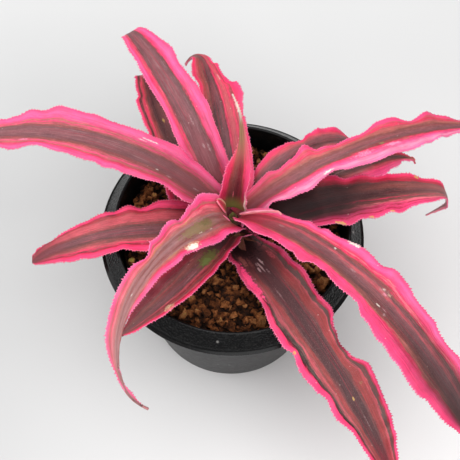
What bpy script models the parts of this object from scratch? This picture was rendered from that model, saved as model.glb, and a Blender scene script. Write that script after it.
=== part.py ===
"""A potted cryptanthus: a rosette of strap leaves on a short rooted stem, in a black plastic pot.

Metres, +Z up. The origin is the middle of the pot's base, and the pot's axis is the Z axis.
"""

import math

import bmesh
import bpy
from mathutils import Matrix, Vector

# ---------------------------------------------------------------- driving dimensions, in metres

GAP = 0.0003  # between pieces that touch on the real plant

POT_HEIGHT = 0.075
LIP_RADIUS = 0.047  # outer edge of the lip
COLLAR_RADIUS = 0.0525  # the widest part of the pot
COLLAR_DROP = 0.0075  # from the lip down to the collar's lower edge
WALL = 0.0015
BODY_TOP_RADIUS = 0.048  # the body, just under the collar
BASE_RADIUS = 0.035
FLOOR_BOTTOM = 0.003  # the floor stands clear of the table inside the foot ring
FLOOR_THICKNESS = 0.002
FLOOR_FILLET = 0.002
FOOT_WIDTH = 0.004
PAD_RADIUS = 0.008  # the flat pad in the middle of the base
SLOT_COUNT = 8
SLOT_LENGTH = 0.011
SLOT_WIDTH = 0.0035
SLOT_RADIUS = 0.021  # from the axis to the middle of a drain slot

SOIL_DEPTH = 0.012  # from the lip down to the soil
SOIL_DIP = 0.0008  # how far the soil falls towards the pot's wall

STEM_RADIUS = 0.0022
STEM_SWELLING = 0.0012  # where the roots leave it
STEM_TOP = 0.012  # above the lip
STEM_FOOT = 0.026  # below the lip, in the soil
ROOT_COUNT = 5
ROOT_RADIUS = 0.0012
ROOT_TIP_SHARE = 0.3  # of the radius that is left at a root's tip
ROOT_REACH = 0.024
ROOT_FALL = 0.020
ROOT_WEAVE = 0.002
ROOT_POINTS = 6

LEAF_THICKNESS = 0.001
LEAF_START = 0.003  # from the axis to the root of a leaf
LEAF_NECK = 0.4  # share of the full width at the root
LEAF_NECK_END = 0.22  # share of the length over which the neck widens
LEAF_CHANNEL = 0.15  # rise of the margins, as a share of the half width
LEAF_CURL_START = 0.82  # share of the length at which a curled tip begins
LEAF_TIP_HALF_WIDTH = 0.0005
LEAF_STEPS = 22
LEAF_COLUMNS = 4

# Each leaf, from the lowest to the youngest. Angles are in degrees and lengths in metres.
#   bearing  the way that the leaf leaves the stem, from +X towards +Y
#   base     height of its root above the pot's lip
#   rise     slope at the root, and droop, the slope lost by the tip
#   bend     above 1 the droop comes late, below 1 it comes early
#   swing    turn of the bearing by the tip, and late, how late that turn comes
#   width    at the widest, and taper and point, how late and how sharply it narrows
#   roll     tilt of the blade about its midrib, at the root and at the tip
#   curl     extra downward curl of the tip, and hook, its extra turn sideways
LEAF_DEFAULTS = dict(
    bend=1.2, swing=0, late=1.5, taper=4, point=0.8, roll=(0, 0), curl=0, hook=0
)
LEAVES = {
    "leaf_back_left_low": dict(
        bearing=135, base=-0.0103, length=0.086, width=0.0225, rise=24, droop=31,
        bend=1.3, swing=-32, late=0.8, taper=2, roll=(-10, 0), curl=70,
    ),
    "leaf_front": dict(
        bearing=-58, base=-0.0102, length=0.119, width=0.021, rise=29, droop=70,
        bend=1.1, swing=1, taper=5, point=0.9, roll=(6, 5),
    ),
    "leaf_right": dict(
        bearing=12, base=-0.0088, length=0.096, width=0.0185, rise=34, droop=57,
        bend=0.8, swing=-2, taper=5, point=0.9, roll=(-10, 3), curl=75,
    ),
    "leaf_left": dict(
        bearing=185, base=-0.0075, length=0.089, width=0.0215, rise=27, droop=59,
        bend=1, swing=18, taper=2.5, point=0.9, roll=(-1, 2), curl=80,
    ),
    "leaf_right_back_low": dict(
        bearing=25, base=-0.006, length=0.076, width=0.017, rise=31, droop=46,
        swing=-9, taper=3.5, roll=(1, 2),
    ),
    "leaf_front_left": dict(
        bearing=241, base=-0.005, length=0.064, width=0.0145, rise=25, droop=35,
        bend=1.4, swing=-23, point=0.7, roll=(4, 22),
    ),
    "leaf_back_right": dict(
        bearing=58, base=-0.0037, length=0.076, width=0.013, rise=35, droop=99,
        bend=1.4, swing=-39, late=0.9, taper=3.5, point=0.7, roll=(-8, 4),
    ),
    "leaf_back": dict(
        bearing=95, base=-0.0014, length=0.083, width=0.0205, rise=40, droop=60,
        bend=0.9, swing=21, late=1.6, taper=3, point=1, roll=(-4, 14), curl=40,
    ),
    "leaf_back_left_tall": dict(
        bearing=117, base=0.001, length=0.102, width=0.0165, rise=42, droop=65,
        bend=1.1, swing=8, taper=5, point=0.9, roll=(1, -2), curl=65,
    ),
    "leaf_right_long": dict(
        bearing=29, base=0.0028, length=0.117, width=0.015, rise=41, droop=72,
        bend=0.7, swing=-10, late=1.4, taper=4.5, point=0.7, roll=(2, -4),
    ),
    "leaf_left_long": dict(
        bearing=154, base=0.0055, length=0.127, width=0.0195, rise=49, droop=81,
        bend=0.7, swing=30, late=1.3, point=1, roll=(14, -18),
    ),
    "leaf_front_right_long": dict(
        bearing=-33, base=0.0073, length=0.139, width=0.019, rise=51, droop=81,
        bend=0.7, swing=-27, late=0.8, taper=8, point=0.9, roll=(-24, 11),
    ),
    "leaf_front_left_arched": dict(
        bearing=229, base=0.0075, length=0.108, width=0.0195, rise=56, droop=94,
        bend=0.9, swing=90, late=3, taper=1.5, point=1.6, roll=(-20, -9), hook=30,
    ),
    "leaf_heart_upright": dict(
        bearing=77, base=0.0088, length=0.047, width=0.015, rise=70, droop=32,
        swing=45, late=2.3, taper=1.5, point=1.7, roll=(2, 0),
    ),
    "leaf_heart_right": dict(
        bearing=-30, base=0.01, length=0.024, width=0.006, rise=60, droop=28,
        bend=1.1, swing=-5, taper=1.5, point=0.9, roll=(-1, -13),
    ),
    "leaf_heart_left": dict(
        bearing=175, base=0.0106, length=0.008, width=0.0045, rise=73, droop=15,
        swing=5, taper=3.5, roll=(6, 6),
    ),
}

# ---------------------------------------------------------------- scene and materials


def clear_scene():
    for item in list(bpy.data.objects):
        bpy.data.objects.remove(item, do_unlink=True)


def new_collection(name):
    collection = bpy.data.collections.new(name)
    bpy.context.scene.collection.children.link(collection)
    return collection


def new_material(name, colour, roughness):
    material = bpy.data.materials.new(name)
    material.use_nodes = True
    shader = material.node_tree.nodes["Principled BSDF"]
    shader.inputs["Base Color"].default_value = (*colour, 1.0)
    shader.inputs["Roughness"].default_value = roughness
    return material


def new_object(name, mesh, material, collection):
    mesh.materials.append(material)
    mesh.shade_smooth()
    item = bpy.data.objects.new(name, mesh)
    collection.objects.link(item)
    return item


def from_bmesh(name, shape, material, collection):
    """An object made from the bmesh shape, which is freed."""
    mesh = bpy.data.meshes.new(name)
    shape.to_mesh(mesh)
    shape.free()
    return new_object(name, mesh, material, collection)


def as_cutter(item):
    item.hide_render = True
    item.display_type = "WIRE"
    return item


def combine(item, other, operation):
    """Cuts the helper other from item, or joins it on."""
    boolean = item.modifiers.new(other.name, "BOOLEAN")
    boolean.operation = operation
    boolean.object = as_cutter(other)


# ---------------------------------------------------------------- turned pieces


def turned(name, profile, segments, material, collection):
    """A solid turned about the Z axis, from (radius, height) points that run down its outer side."""
    shape = bmesh.new()
    points = [shape.verts.new((radius, 0.0, height)) for radius, height in profile]
    for start, end in zip(points, points[1:]):
        shape.edges.new((start, end))
    bmesh.ops.remove_doubles(shape, verts=shape.verts, dist=1e-6)
    item = from_bmesh(name, shape, material, collection)
    screw = item.modifiers.new("Turn", "SCREW")
    screw.axis = "Z"
    screw.steps = segments
    screw.render_steps = segments
    screw.use_merge_vertices = True
    screw.merge_threshold = 0.00001
    return item


def body_radius(height):
    """The outer radius of the pot's body at a height above the table."""
    share = height / (POT_HEIGHT - COLLAR_DROP)
    return BASE_RADIUS + (BODY_TOP_RADIUS - BASE_RADIUS) * share


def inner_radius(height):
    """The inner radius of the pot above the fillet at its floor."""
    foot = FLOOR_BOTTOM + FLOOR_THICKNESS + FLOOR_FILLET
    head = POT_HEIGHT - COLLAR_DROP
    share = min((height - foot) / (head - foot), 1.0)
    narrow = body_radius(foot) - WALL
    return narrow + (LIP_RADIUS - WALL - narrow) * share


def make_pot(material, collection, cutters):
    skirt = POT_HEIGHT - COLLAR_DROP
    shoulder = POT_HEIGHT - 0.0035
    floor = FLOOR_BOTTOM + FLOOR_THICKNESS
    foot = BASE_RADIUS - FOOT_WIDTH
    profile = [
        (LIP_RADIUS - 0.0004, POT_HEIGHT),
        (LIP_RADIUS, POT_HEIGHT - 0.0004),
        (COLLAR_RADIUS - 0.0003, skirt + 0.0005),
        (COLLAR_RADIUS, skirt),
        (COLLAR_RADIUS - WALL, skirt),
        (BODY_TOP_RADIUS + 0.0004, shoulder),
        (BODY_TOP_RADIUS, skirt),
        (body_radius(0.0012), 0.0012),
        (BASE_RADIUS - 0.0012, 0.0),
        (foot, 0.0),
        (foot - 0.001, FLOOR_BOTTOM),
        (PAD_RADIUS + 0.001, FLOOR_BOTTOM),
        (PAD_RADIUS, 0.0),
        (0.0, 0.0),
        (0.0, floor),
        (inner_radius(floor + FLOOR_FILLET) - FLOOR_FILLET, floor),
        (inner_radius(floor + FLOOR_FILLET), floor + FLOOR_FILLET),
        (inner_radius(skirt), skirt),
        (LIP_RADIUS - WALL, POT_HEIGHT - 0.0003),
        (LIP_RADIUS - WALL + 0.0003, POT_HEIGHT),
        (LIP_RADIUS - 0.0004, POT_HEIGHT),
    ]
    pot = turned("pot", profile, 64, material, collection)
    for index in range(SLOT_COUNT):
        shape = bmesh.new()
        size = Matrix.Diagonal((SLOT_LENGTH, SLOT_WIDTH, 3 * FLOOR_THICKNESS, 1.0))
        middle = Matrix.Translation((SLOT_RADIUS, 0.0, 0.0))
        bmesh.ops.create_cube(shape, size=1.0, matrix=middle @ size)
        slot = from_bmesh(f"drain_slot_{index}", shape, material, cutters)
        slot.location.z = FLOOR_BOTTOM + FLOOR_THICKNESS / 2
        slot.rotation_euler.z = 2 * math.pi * index / SLOT_COUNT
        combine(pot, slot, "DIFFERENCE")


# ---------------------------------------------------------------- stem, roots and soil


def stem_profile(extra):
    """The stump, as (radius, height) points down its outer side, made extra larger all round."""
    foot = POT_HEIGHT - STEM_FOOT
    top = POT_HEIGHT + STEM_TOP
    return [
        (0.0, top + extra),
        (STEM_RADIUS * 0.5 + extra, top + extra),
        (STEM_RADIUS + extra, top - 0.002),
        (STEM_RADIUS + extra, POT_HEIGHT - SOIL_DEPTH),
        (STEM_RADIUS + STEM_SWELLING + extra, foot + 0.008),
        (STEM_RADIUS + STEM_SWELLING + extra, foot + 0.003 - extra),
        (STEM_RADIUS * 0.5 + extra, foot - extra),
        (0.0, foot - extra),
    ]


def make_root(name, index, extra, material, collection):
    """One root as a mesh tube that thins to its tip, made extra thicker all round."""
    curve = bpy.data.curves.new(name, "CURVE")
    curve.dimensions = "3D"
    curve.bevel_depth = ROOT_RADIUS
    curve.bevel_resolution = 2
    curve.use_fill_caps = True
    spline = curve.splines.new("POLY")
    spline.points.add(ROOT_POINTS - 1)
    for step, point in enumerate(spline.points):
        share = step / (ROOT_POINTS - 1)
        if share == 1:
            share += extra / ROOT_REACH
        weave = ROOT_WEAVE * math.sin(4 * share + index)
        point.co = (ROOT_REACH * share, weave, -ROOT_FALL * share**1.6, 1.0)
        point.radius = 1 - (1 - ROOT_TIP_SHARE) * share + extra / ROOT_RADIUS
    guide = bpy.data.objects.new(name, curve)
    collection.objects.link(guide)
    evaluated = guide.evaluated_get(bpy.context.evaluated_depsgraph_get())
    shape = bmesh.new()
    shape.from_mesh(bpy.data.meshes.new_from_object(evaluated))
    bmesh.ops.remove_doubles(shape, verts=shape.verts, dist=1e-6)
    bpy.data.objects.remove(guide, do_unlink=True)
    root = from_bmesh(name, shape, material, collection)
    root.location.z = POT_HEIGHT - STEM_FOOT + 0.005
    root.rotation_euler.z = 2 * math.pi * index / ROOT_COUNT + math.radians(20)
    return root


def make_stem(material, collection, cutters):
    stem = turned("stem_and_roots", stem_profile(0.0), 16, material, collection)
    for index in range(ROOT_COUNT):
        root = make_root(f"root_{index}", index, 0.0, material, cutters)
        combine(stem, root, "UNION")


def make_soil(material, collection, cutters):
    """The bed of granules as one solid, a gap clear of the pot, the stem and the roots."""
    top = POT_HEIGHT - SOIL_DEPTH
    floor = FLOOR_BOTTOM + FLOOR_THICKNESS
    bend = floor + FLOOR_FILLET + GAP
    profile = [
        (0.0, top),
        (0.024, top),
        (0.038, top - SOIL_DIP * 0.5),
        (inner_radius(top - SOIL_DIP) - GAP, top - SOIL_DIP),
        (inner_radius(bend) - GAP, bend),
        (inner_radius(bend) - FLOOR_FILLET - GAP, floor + GAP),
        (0.0, floor + GAP),
    ]
    soil = turned("soil", profile, 64, material, collection)
    combine(soil, turned("stem_hole", stem_profile(GAP), 16, material, cutters), "DIFFERENCE")
    for index in range(ROOT_COUNT):
        channel = make_root(f"root_hole_{index}", index, GAP, material, cutters)
        combine(soil, channel, "DIFFERENCE")


# ---------------------------------------------------------------- leaves


def ease(share):
    share = min(max(share, 0.0), 1.0)
    return share * share * (3 - 2 * share)


def leaf_heading(leaf, share):
    """(turn, slope) in radians of the midrib of a leaf that leaves along +X, at a share of its length."""
    tip = ease((share - LEAF_CURL_START) / (1 - LEAF_CURL_START))
    turn = leaf["swing"] * share ** leaf["late"] + leaf["hook"] * tip
    slope = leaf["rise"] - leaf["droop"] * share ** leaf["bend"] - leaf["curl"] * tip
    return math.radians(turn), math.radians(slope)


def leaf_forward(leaf, share):
    turn, slope = leaf_heading(leaf, share)
    flat = math.cos(slope)
    return Vector((flat * math.cos(turn), flat * math.sin(turn), math.sin(slope)))


def leaf_half_width(leaf, share):
    neck = LEAF_NECK + (1 - LEAF_NECK) * ease(share / LEAF_NECK_END)
    end = (1 - share ** leaf["taper"]) ** leaf["point"]
    return max(leaf["width"] / 2 * neck * end, LEAF_TIP_HALF_WIDTH)


def leaf_midrib(leaf):
    """Points along the midrib, each a step of the length on from the last."""
    points = [Vector((LEAF_START, 0.0, 0.0))]
    for step in range(LEAF_STEPS):
        forward = leaf_forward(leaf, (step + 0.5) / LEAF_STEPS)
        points.append(points[-1] + forward * leaf["length"] / LEAF_STEPS)
    return points


def make_leaf(name, dimensions, axis, material, collection):
    """A channelled blade that leaves along +X in its own frame, turned to its bearing about the axis."""
    leaf = {**LEAF_DEFAULTS, **dimensions}
    midrib = leaf_midrib(leaf)
    shape = bmesh.new()
    bmesh.ops.create_grid(shape, x_segments=LEAF_STEPS, y_segments=LEAF_COLUMNS, size=1.0)
    for vert in shape.verts:
        share = (vert.co.x + 1) / 2
        across = vert.co.y
        turn = leaf_heading(leaf, share)[0]
        forward = leaf_forward(leaf, share)
        level = Vector((-math.sin(turn), math.cos(turn), 0.0))
        roll = math.radians(leaf["roll"][0] + (leaf["roll"][1] - leaf["roll"][0]) * share)
        side = Matrix.Rotation(roll, 3, forward) @ level
        up = forward.cross(side)
        half = leaf_half_width(leaf, share)
        middle = midrib[round(share * LEAF_STEPS)]
        vert.co = middle + side * (half * across) + up * (LEAF_CHANNEL * half * across**2)
    item = from_bmesh(name, shape, material, collection)
    blade = item.modifiers.new("Blade", "SOLIDIFY")
    blade.thickness = LEAF_THICKNESS
    blade.offset = 0.0
    item.parent = axis
    item.location.z = leaf["base"]
    item.rotation_euler.z = math.radians(leaf["bearing"])


# ---------------------------------------------------------------- the plant


def main():
    clear_scene()
    parts = new_collection("potted_cryptanthus")
    cutters = new_collection("cutters")
    plastic = new_material("black_plastic", (0.02, 0.021, 0.023), 0.55)
    clay = new_material("clay_granules", (0.16, 0.075, 0.03), 0.95)
    bark = new_material("stem_tissue", (0.22, 0.15, 0.07), 0.8)
    blade = new_material("leaf_tissue", (0.45, 0.09, 0.14), 0.4)
    axis = bpy.data.objects.new("lip_plane", None)
    axis.location.z = POT_HEIGHT
    parts.objects.link(axis)
    make_pot(plastic, parts, cutters)
    make_soil(clay, parts, cutters)
    make_stem(bark, parts, cutters)
    for name, dimensions in LEAVES.items():
        make_leaf(name, dimensions, axis, blade, parts)


main()
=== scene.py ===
# %% [markdown]
# # A potted cryptanthus
#
# A cryptanthus is a small bromeliad: a flat star of stiff, wavy, finely toothed straps that
# grow from one short stem. This lesson dresses the plain construction model of one in a
# black plastic pot. The construction model is the frame: it says where everything is, and
# nothing here moves it. Each piece below stands in the space that the frame gives it.
#
# Lengths are in millimetres in the tables and in metres in the scene.

# %% Load the frame
import math
import random

import bmesh
import bpy
from mathutils import Euler, Matrix, Vector, noise


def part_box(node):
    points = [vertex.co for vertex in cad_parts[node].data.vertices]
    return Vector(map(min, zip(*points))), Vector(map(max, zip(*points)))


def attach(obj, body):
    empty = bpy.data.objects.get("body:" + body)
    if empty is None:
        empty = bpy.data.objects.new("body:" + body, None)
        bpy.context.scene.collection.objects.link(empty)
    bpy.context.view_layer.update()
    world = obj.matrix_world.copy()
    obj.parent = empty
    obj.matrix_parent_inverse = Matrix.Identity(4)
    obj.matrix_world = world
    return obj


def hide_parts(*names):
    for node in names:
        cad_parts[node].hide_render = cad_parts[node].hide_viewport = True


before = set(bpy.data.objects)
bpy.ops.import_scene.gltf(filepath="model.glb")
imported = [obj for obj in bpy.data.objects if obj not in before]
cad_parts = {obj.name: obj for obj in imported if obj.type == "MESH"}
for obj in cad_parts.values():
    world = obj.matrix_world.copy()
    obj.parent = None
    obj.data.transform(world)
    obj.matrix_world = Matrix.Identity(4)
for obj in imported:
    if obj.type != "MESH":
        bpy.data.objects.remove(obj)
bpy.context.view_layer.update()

MM = 0.001

# %% [markdown]
# ## Heights taken from the frame
#
# The pot's lip is the level that the plant is measured from: every leaf's root is so far
# above or below it. The soil's top and the pot's size come from the frame's boxes too, so
# that the finished pieces follow the construction model if it changes.

# %% Heights and radii from the frame
pot_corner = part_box("pot")[1]
soil_low, soil_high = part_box("soil")
LIP = pot_corner.z
lip_top = LIP / MM
collar_radius = pot_corner.x / MM
soil_top = soil_high.z / MM
soil_bottom = soil_low.z / MM
print("lip", round(lip_top, 1), "soil", round(soil_top, 1), "collar radius", round(collar_radius, 1))

# %% [markdown]
# ## Camera
#
# The plant is looked down on from the front, 62 degrees above level, from 400 mm away: about
# as near as a hand-held camera comes to a small pot. A longer lens further off would flatten
# the star of leaves, and a shorter one would swell its middle. The view leans by about a
# degree, as a hand-held view does.

# %% Camera
SENSOR = 36.0
CAMERA_DISTANCE = 400 * MM
CAMERA_ELEVATION = math.radians(61.9)
CAMERA_LEAN = math.radians(1.2)
CAMERA_LENS = 79.8
NEAREST_SEEN = 10 * MM
AIM = Vector((-1.0 * MM, -2.7 * MM, LIP))

lens = bpy.data.cameras.new("camera")
lens.sensor_width = SENSOR
lens.lens = CAMERA_LENS
lens.clip_start = NEAREST_SEEN
camera = bpy.data.objects.new("camera", lens)
bpy.context.scene.collection.objects.link(camera)
away = Vector((0.0, -math.cos(CAMERA_ELEVATION), math.sin(CAMERA_ELEVATION)))
camera.location = AIM + CAMERA_DISTANCE * away
upright = Matrix.Rotation(math.pi / 2 - CAMERA_ELEVATION, 3, "X")
lean = Matrix.Rotation(CAMERA_LEAN, 3, "Z")
camera.rotation_euler = (upright @ lean).to_euler()
bpy.context.scene.camera = camera
print("camera at", [round(value / MM) for value in camera.location], "mm")

# %% [markdown]
# ## Light
#
# The plant is lit as in a small studio. One wide softbox hangs above it, a little to the left,
# and a weaker one fills in from the front right. A third stands far out on the left, so that
# the left of the collar is paler than the right. A pale world keeps the shadows open. The
# colours are shown with the plain transform, because the filmic one would grey the hot pink.

# %% Softboxes and world
LIT_POINT = Vector((0.0, 0.0, 50 * MM))  # every softbox faces the pot's middle
SOFTBOXES = (  # name, place and width in metres, and power in watts
    ("softbox_above", (-0.30, 0.05, 1.15), 1.5, 10.9),
    ("softbox_front", (0.25, -0.55, 0.9), 1.0, 6.0),
    ("softbox_left", (-1.2, 0.1, 0.5), 0.9, 4.0),
)
WORLD_STRENGTH = 0.42

for name, place, width, power in SOFTBOXES:
    light = bpy.data.lights.new(name, "AREA")
    light.shape = "DISK"
    light.size = width
    light.energy = power
    softbox = bpy.data.objects.new(name, light)
    bpy.context.scene.collection.objects.link(softbox)
    softbox.location = place
    softbox.rotation_euler = (Vector(place) - LIT_POINT).to_track_quat("Z", "Y").to_euler()
world = bpy.data.worlds.new("studio")
world.use_nodes = True
world.node_tree.nodes["Background"].inputs["Color"].default_value = (1.0, 1.0, 1.0, 1.0)
world.node_tree.nodes["Background"].inputs["Strength"].default_value = WORLD_STRENGTH
bpy.context.scene.world = world
bpy.context.scene.view_settings.view_transform = "Standard"

# %% [markdown]
# ## A short way to write materials
#
# Every finish below is a small network of nodes. Adding nodes one call at a time makes long
# cells, so `node` adds one node to the network that its wires come from, sets it up and returns
# it. The helpers after it are the few kinds of node that these finishes are built from. Colours
# are written as the eye reads them, in 0 to 255 steps, and turned into the linear light that
# the shader works in.

# %% Colours and nodes
def paint(red, green, blue):
    """A colour in 0 to 255 steps as linear light with full opacity."""
    def linear(value):
        share = value / 255
        return share / 12.92 if share <= 0.04045 else ((share + 0.055) / 1.055) ** 2.4
    return (linear(red), linear(green), linear(blue), 1.0)


def source(member, kind, **settings):
    """A new node with its settings, in the network that a node or a wire is a member of."""
    made = member.id_data.nodes.new(kind)
    for name, value in settings.items():
        setattr(made, name, value)
    return made


def is_wire(value):
    return isinstance(value, bpy.types.NodeSocket)


def node(kind, inputs, **settings):
    """A new node with its settings, and its inputs given as values or as wires."""
    made = source(next(filter(is_wire, inputs.values())), kind, **settings)
    for name, value in inputs.items():
        if is_wire(value):
            made.id_data.links.new(value, made.inputs[name])
        else:
            made.inputs[name].default_value = value
    return made


def times(first, second):
    return node("ShaderNodeMath", {0: first, 1: second}, operation="MULTIPLY").outputs[0]


def plus(first, second):
    return node("ShaderNodeMath", {0: first, 1: second}, operation="ADD").outputs[0]


def size_of(value):
    """A number without its sign."""
    return node("ShaderNodeMath", {0: value}, operation="ABSOLUTE").outputs[0]


def remap(value, low, high, to_low=0.0, to_high=1.0, smooth=False):
    """A value moved from one range to another, and held inside it."""
    wired = {"Value": value, "From Min": low, "From Max": high, "To Min": to_low, "To Max": to_high}
    kind = "SMOOTHSTEP" if smooth else "LINEAR"
    return node("ShaderNodeMapRange", wired, interpolation_type=kind).outputs[0]


print("a pink in linear light:", [round(value, 2) for value in paint(255, 80, 140)])

# %% Colours mixed and varied
def blend(factor, first, second):
    """Two colours mixed by a factor."""
    return node("ShaderNodeMix", {0: factor, 6: first, 7: second}, data_type="RGBA").outputs[2]


def shaded(colour, shade):
    """A colour made lighter or darker by a factor."""
    return node("ShaderNodeVectorMath", {0: colour, 3: shade}, operation="SCALE").outputs[0]


def ramp(factor, stops):
    """A colour ramp from (position, colour) stops."""
    made = node("ShaderNodeValToRGB", {"Fac": factor})
    spots = made.color_ramp.elements
    while len(spots) < len(stops):
        spots.new(0.5)
    for spot, (position, colour) in zip(spots, sorted(stops, key=lambda stop: stop[0])):
        spot.position = position
        spot.color = colour
    return made.outputs["Color"]


def cloudy(place, scale, detail=2.0, rough=0.5):
    """Soft noise, from about 0.2 to 0.8."""
    wired = {"Vector": place, "Scale": scale, "Detail": detail, "Roughness": rough}
    return node("ShaderNodeTexNoise", wired).outputs["Fac"]


def cells(place, scale, feature="F1"):
    """A pattern of cells: its node gives each cell a colour, and the distance from its middle."""
    return node("ShaderNodeTexVoronoi", {"Vector": place, "Scale": scale}, feature=feature)


def laid(colour, over, pattern, low, high, strength, within=None, smooth=False):
    """A colour laid over another where a pattern goes from low to high, and within a share."""
    share = remap(pattern, low, high, 0.0, strength, smooth)
    if within:
        share = times(share, within)
    return blend(share, colour, over)


def specks(place, scale, chosen, rim, middle, strength):
    """Small round specks in those few cells whose own number, 0 to 1, is above `chosen`."""
    pattern = cells(place, scale)
    number = node("ShaderNodeSeparateColor", {0: pattern.outputs["Color"]}).outputs[0]
    spot = remap(pattern.outputs["Distance"], rim, middle, 0.0, strength)
    return times(spot, remap(number, chosen, chosen + 0.02))


print("mixing and pattern helpers ready")

# %% Materials and pieces
def new_material(name):
    """A material and its Principled shader."""
    material = bpy.data.materials.new(name)
    material.use_nodes = True
    return material, material.node_tree.nodes["Principled BSDF"]


def object_place(shader):
    """The place of a point in the scene, in metres."""
    return source(shader, "ShaderNodeTexCoord").outputs["Object"]


def part_of(place, axis):
    """The X, Y or Z of a place."""
    return node("ShaderNodeSeparateXYZ", {0: place}).outputs[axis]


def wire_up(shader, colour, rough, height, strength, depth):
    """Gives a shader its colour, its roughness and a bump of a strength and a depth in metres."""
    bump = node("ShaderNodeBump", {"Height": height, "Strength": strength, "Distance": depth})
    wires = {"Base Color": colour, "Roughness": rough, "Normal": bump.outputs["Normal"]}
    for name, wire in wires.items():
        shader.id_data.links.new(wire, shader.inputs[name])


def into_object(name, shape, finishes, sharp=None):
    """A finished object from a bmesh, which is freed. `sharp` is the angle that stays an edge."""
    mesh = bpy.data.meshes.new(name)
    shape.to_mesh(mesh)
    shape.free()
    for finish in finishes:
        mesh.materials.append(finish)
    if sharp is not None:
        mesh.set_sharp_from_angle(angle=math.radians(sharp))
    piece = bpy.data.objects.new(name, mesh)
    bpy.context.scene.collection.objects.link(piece)
    return piece


print("material and piece helpers ready")

# %% [markdown]
# ## Floor
#
# The floor is one flat sheet, far larger than the pot, because nothing on it is modelled. Light
# and shade are painted into its pale colour: painted shade makes it a little darker close under
# the camera, painted light makes it paler further back, and it is palest in a painted pool of
# light in front, to the right, which pales the shadow that the plant casts there. These tones
# are painted on it by place in the scene, so they stay where they are from every side.

# %% Floor
FLOOR_SIZE = 12.0  # in metres, like the places and sizes below
# Painted light and shade on the floor: a painted pool of light in front, to the right, and a front painted
# darker than the back.
PAINTED_LIGHT_SPOT = (0.13, -0.12, 0.0)  # the table is palest in front, to the right
SPOT_RIM = 0.34
SPOT_MIDDLE = 0.02
PAINTED_SHADE_FRONT = -0.02  # the darker front ends here, and the pale back starts at PAINTED_LIGHT_BACK
PAINTED_LIGHT_BACK = 0.26


def table_finish():
    material, shader = new_material("pale_table")
    place = object_place(shader)
    depth = part_of(place, "Y")
    # Painted shade at the front, painted light further back.
    table = laid(paint(180, 181, 181), paint(220, 220, 220), depth, PAINTED_SHADE_FRONT, PAINTED_LIGHT_BACK, 1.0, smooth=True)
    away = node("ShaderNodeVectorMath", {0: place, 1: PAINTED_LIGHT_SPOT}, operation="DISTANCE").outputs["Value"]
    # A painted pool of light round the bright spot, over the plant's shadow.
    table = laid(table, paint(237, 235, 235), away, SPOT_RIM, SPOT_MIDDLE, 1.0, smooth=True)
    table = laid(table, paint(228, 228, 228), cloudy(place, 9.0), 0.3, 0.7, 0.15)
    shader.id_data.links.new(table, shader.inputs["Base Color"])
    shader.inputs["Roughness"].default_value = 0.7
    return material


sheet = bmesh.new()
bmesh.ops.create_grid(sheet, x_segments=2, y_segments=2, size=FLOOR_SIZE / 2)
into_object("floor", sheet, [table_finish()])
print("floor laid at z = 0")

# %% [markdown]
# ## How a leaf is described
#
# A strap leaf could be sculpted, or bent from a flat strip with modifiers. Here it is worked
# out from the way that it grows: the midrib leaves the stem at a slope, droops by so many
# degrees on its way out, and may swing sideways. At each step across the midrib the blade has
# a width and a tilt.
#
# `GROWTH` holds what most leaves share, in degrees and millimetres:
#
# - *bearing* and *base*: the direction of the root round the stem, and its height over the lip;
# - *rise*: the slope at the root, and *droop*, the slope lost by the tip, late if *bend* is high;
# - *swing*: the turn of the bearing by the tip, later if *late* is high;
# - *width*: the widest. *taper* is how late it narrows and *point* how sharply, and *neck* is
#   the share of it at the root. *clasp* is the share of the length rolled round the stem;
# - *roll*: the tilt of the blade about its midrib, at root and tip;
# - *curl* and *hook*: the extra bend of the tip, down and sideways;
# - *ruffle* and *wave*: how high the margins ripple, and how far apart, with *teeth* of a size;
# - *left* and *right*: the slow bulges of each margin, as rows of a share of the length and how
#   far the margin stands out there;
# - *tail*: the length of a dried thread beyond the tip, with its width, fold and turn.

# %% Growth
LEAF_START = 3.0  # from the pot's axis to a leaf's root
LEAF_TIP = (0.82, 0.18)  # where a tip's curl begins, and over how much of the length it goes on
GROWTH = dict(
    bend=1.2, swing=0, late=1.5, taper=4, point=0.8, roll=(0, 0), curl=0, hook=0,
    neck=0.62, clasp=0.16, ruffle=0.9, wave=13.0, left="", right="", teeth=1.0,
    tail=0.0, tail_width=1.6, tail_fold=40, tail_turn=0,
)


def ease(share, start=0.0, span=1.0):
    """Rises gently from 0 to 1, from a start and over a span."""
    share = min(max((share - start) / span, 0.0), 1.0)
    return share * share * (3 - 2 * share)


def heading(leaf, share):
    """(turn, slope) of the midrib in radians, at a share of the leaf's length."""
    tip = ease(share, *LEAF_TIP)
    beyond = ease((share - 1) * leaf["length"] / max(leaf["tail"] * 0.25, 0.1))
    share = min(share, 1.0)
    turn = leaf["swing"] * share ** leaf["late"] + leaf["hook"] * tip + leaf["tail_turn"] * beyond
    slope = leaf["rise"] - leaf["droop"] * share ** leaf["bend"] - leaf["curl"] * tip
    return math.radians(turn), math.radians(slope - leaf["tail_fold"] * beyond)


def forward_at(leaf, share):
    turn, slope = heading(leaf, share)
    flat = math.cos(slope)
    return Vector((flat * math.cos(turn), flat * math.sin(turn), math.sin(slope)))


print("a leaf starts", LEAF_START, "mm from the axis")

# %% Widths and margins
THINNEST_TIP = 0.35  # half widths that a tip and a tail never go under
THINNEST_TAIL = 0.25


def half_width(leaf, share):
    neck = leaf["neck"] + (1 - leaf["neck"]) * ease(share, 0.0, 0.22)
    blade = leaf["width"] / 2 * neck * (1 - min(share, 1.0) ** leaf["taper"]) ** leaf["point"]
    if not leaf["tail"]:
        return max(blade, THINNEST_TIP)
    left = 1 - max(share - 1, 0.0) * leaf["length"] / leaf["tail"]
    return max(blade, leaf["tail_width"] / 2 * left, THINNEST_TAIL)


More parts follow.
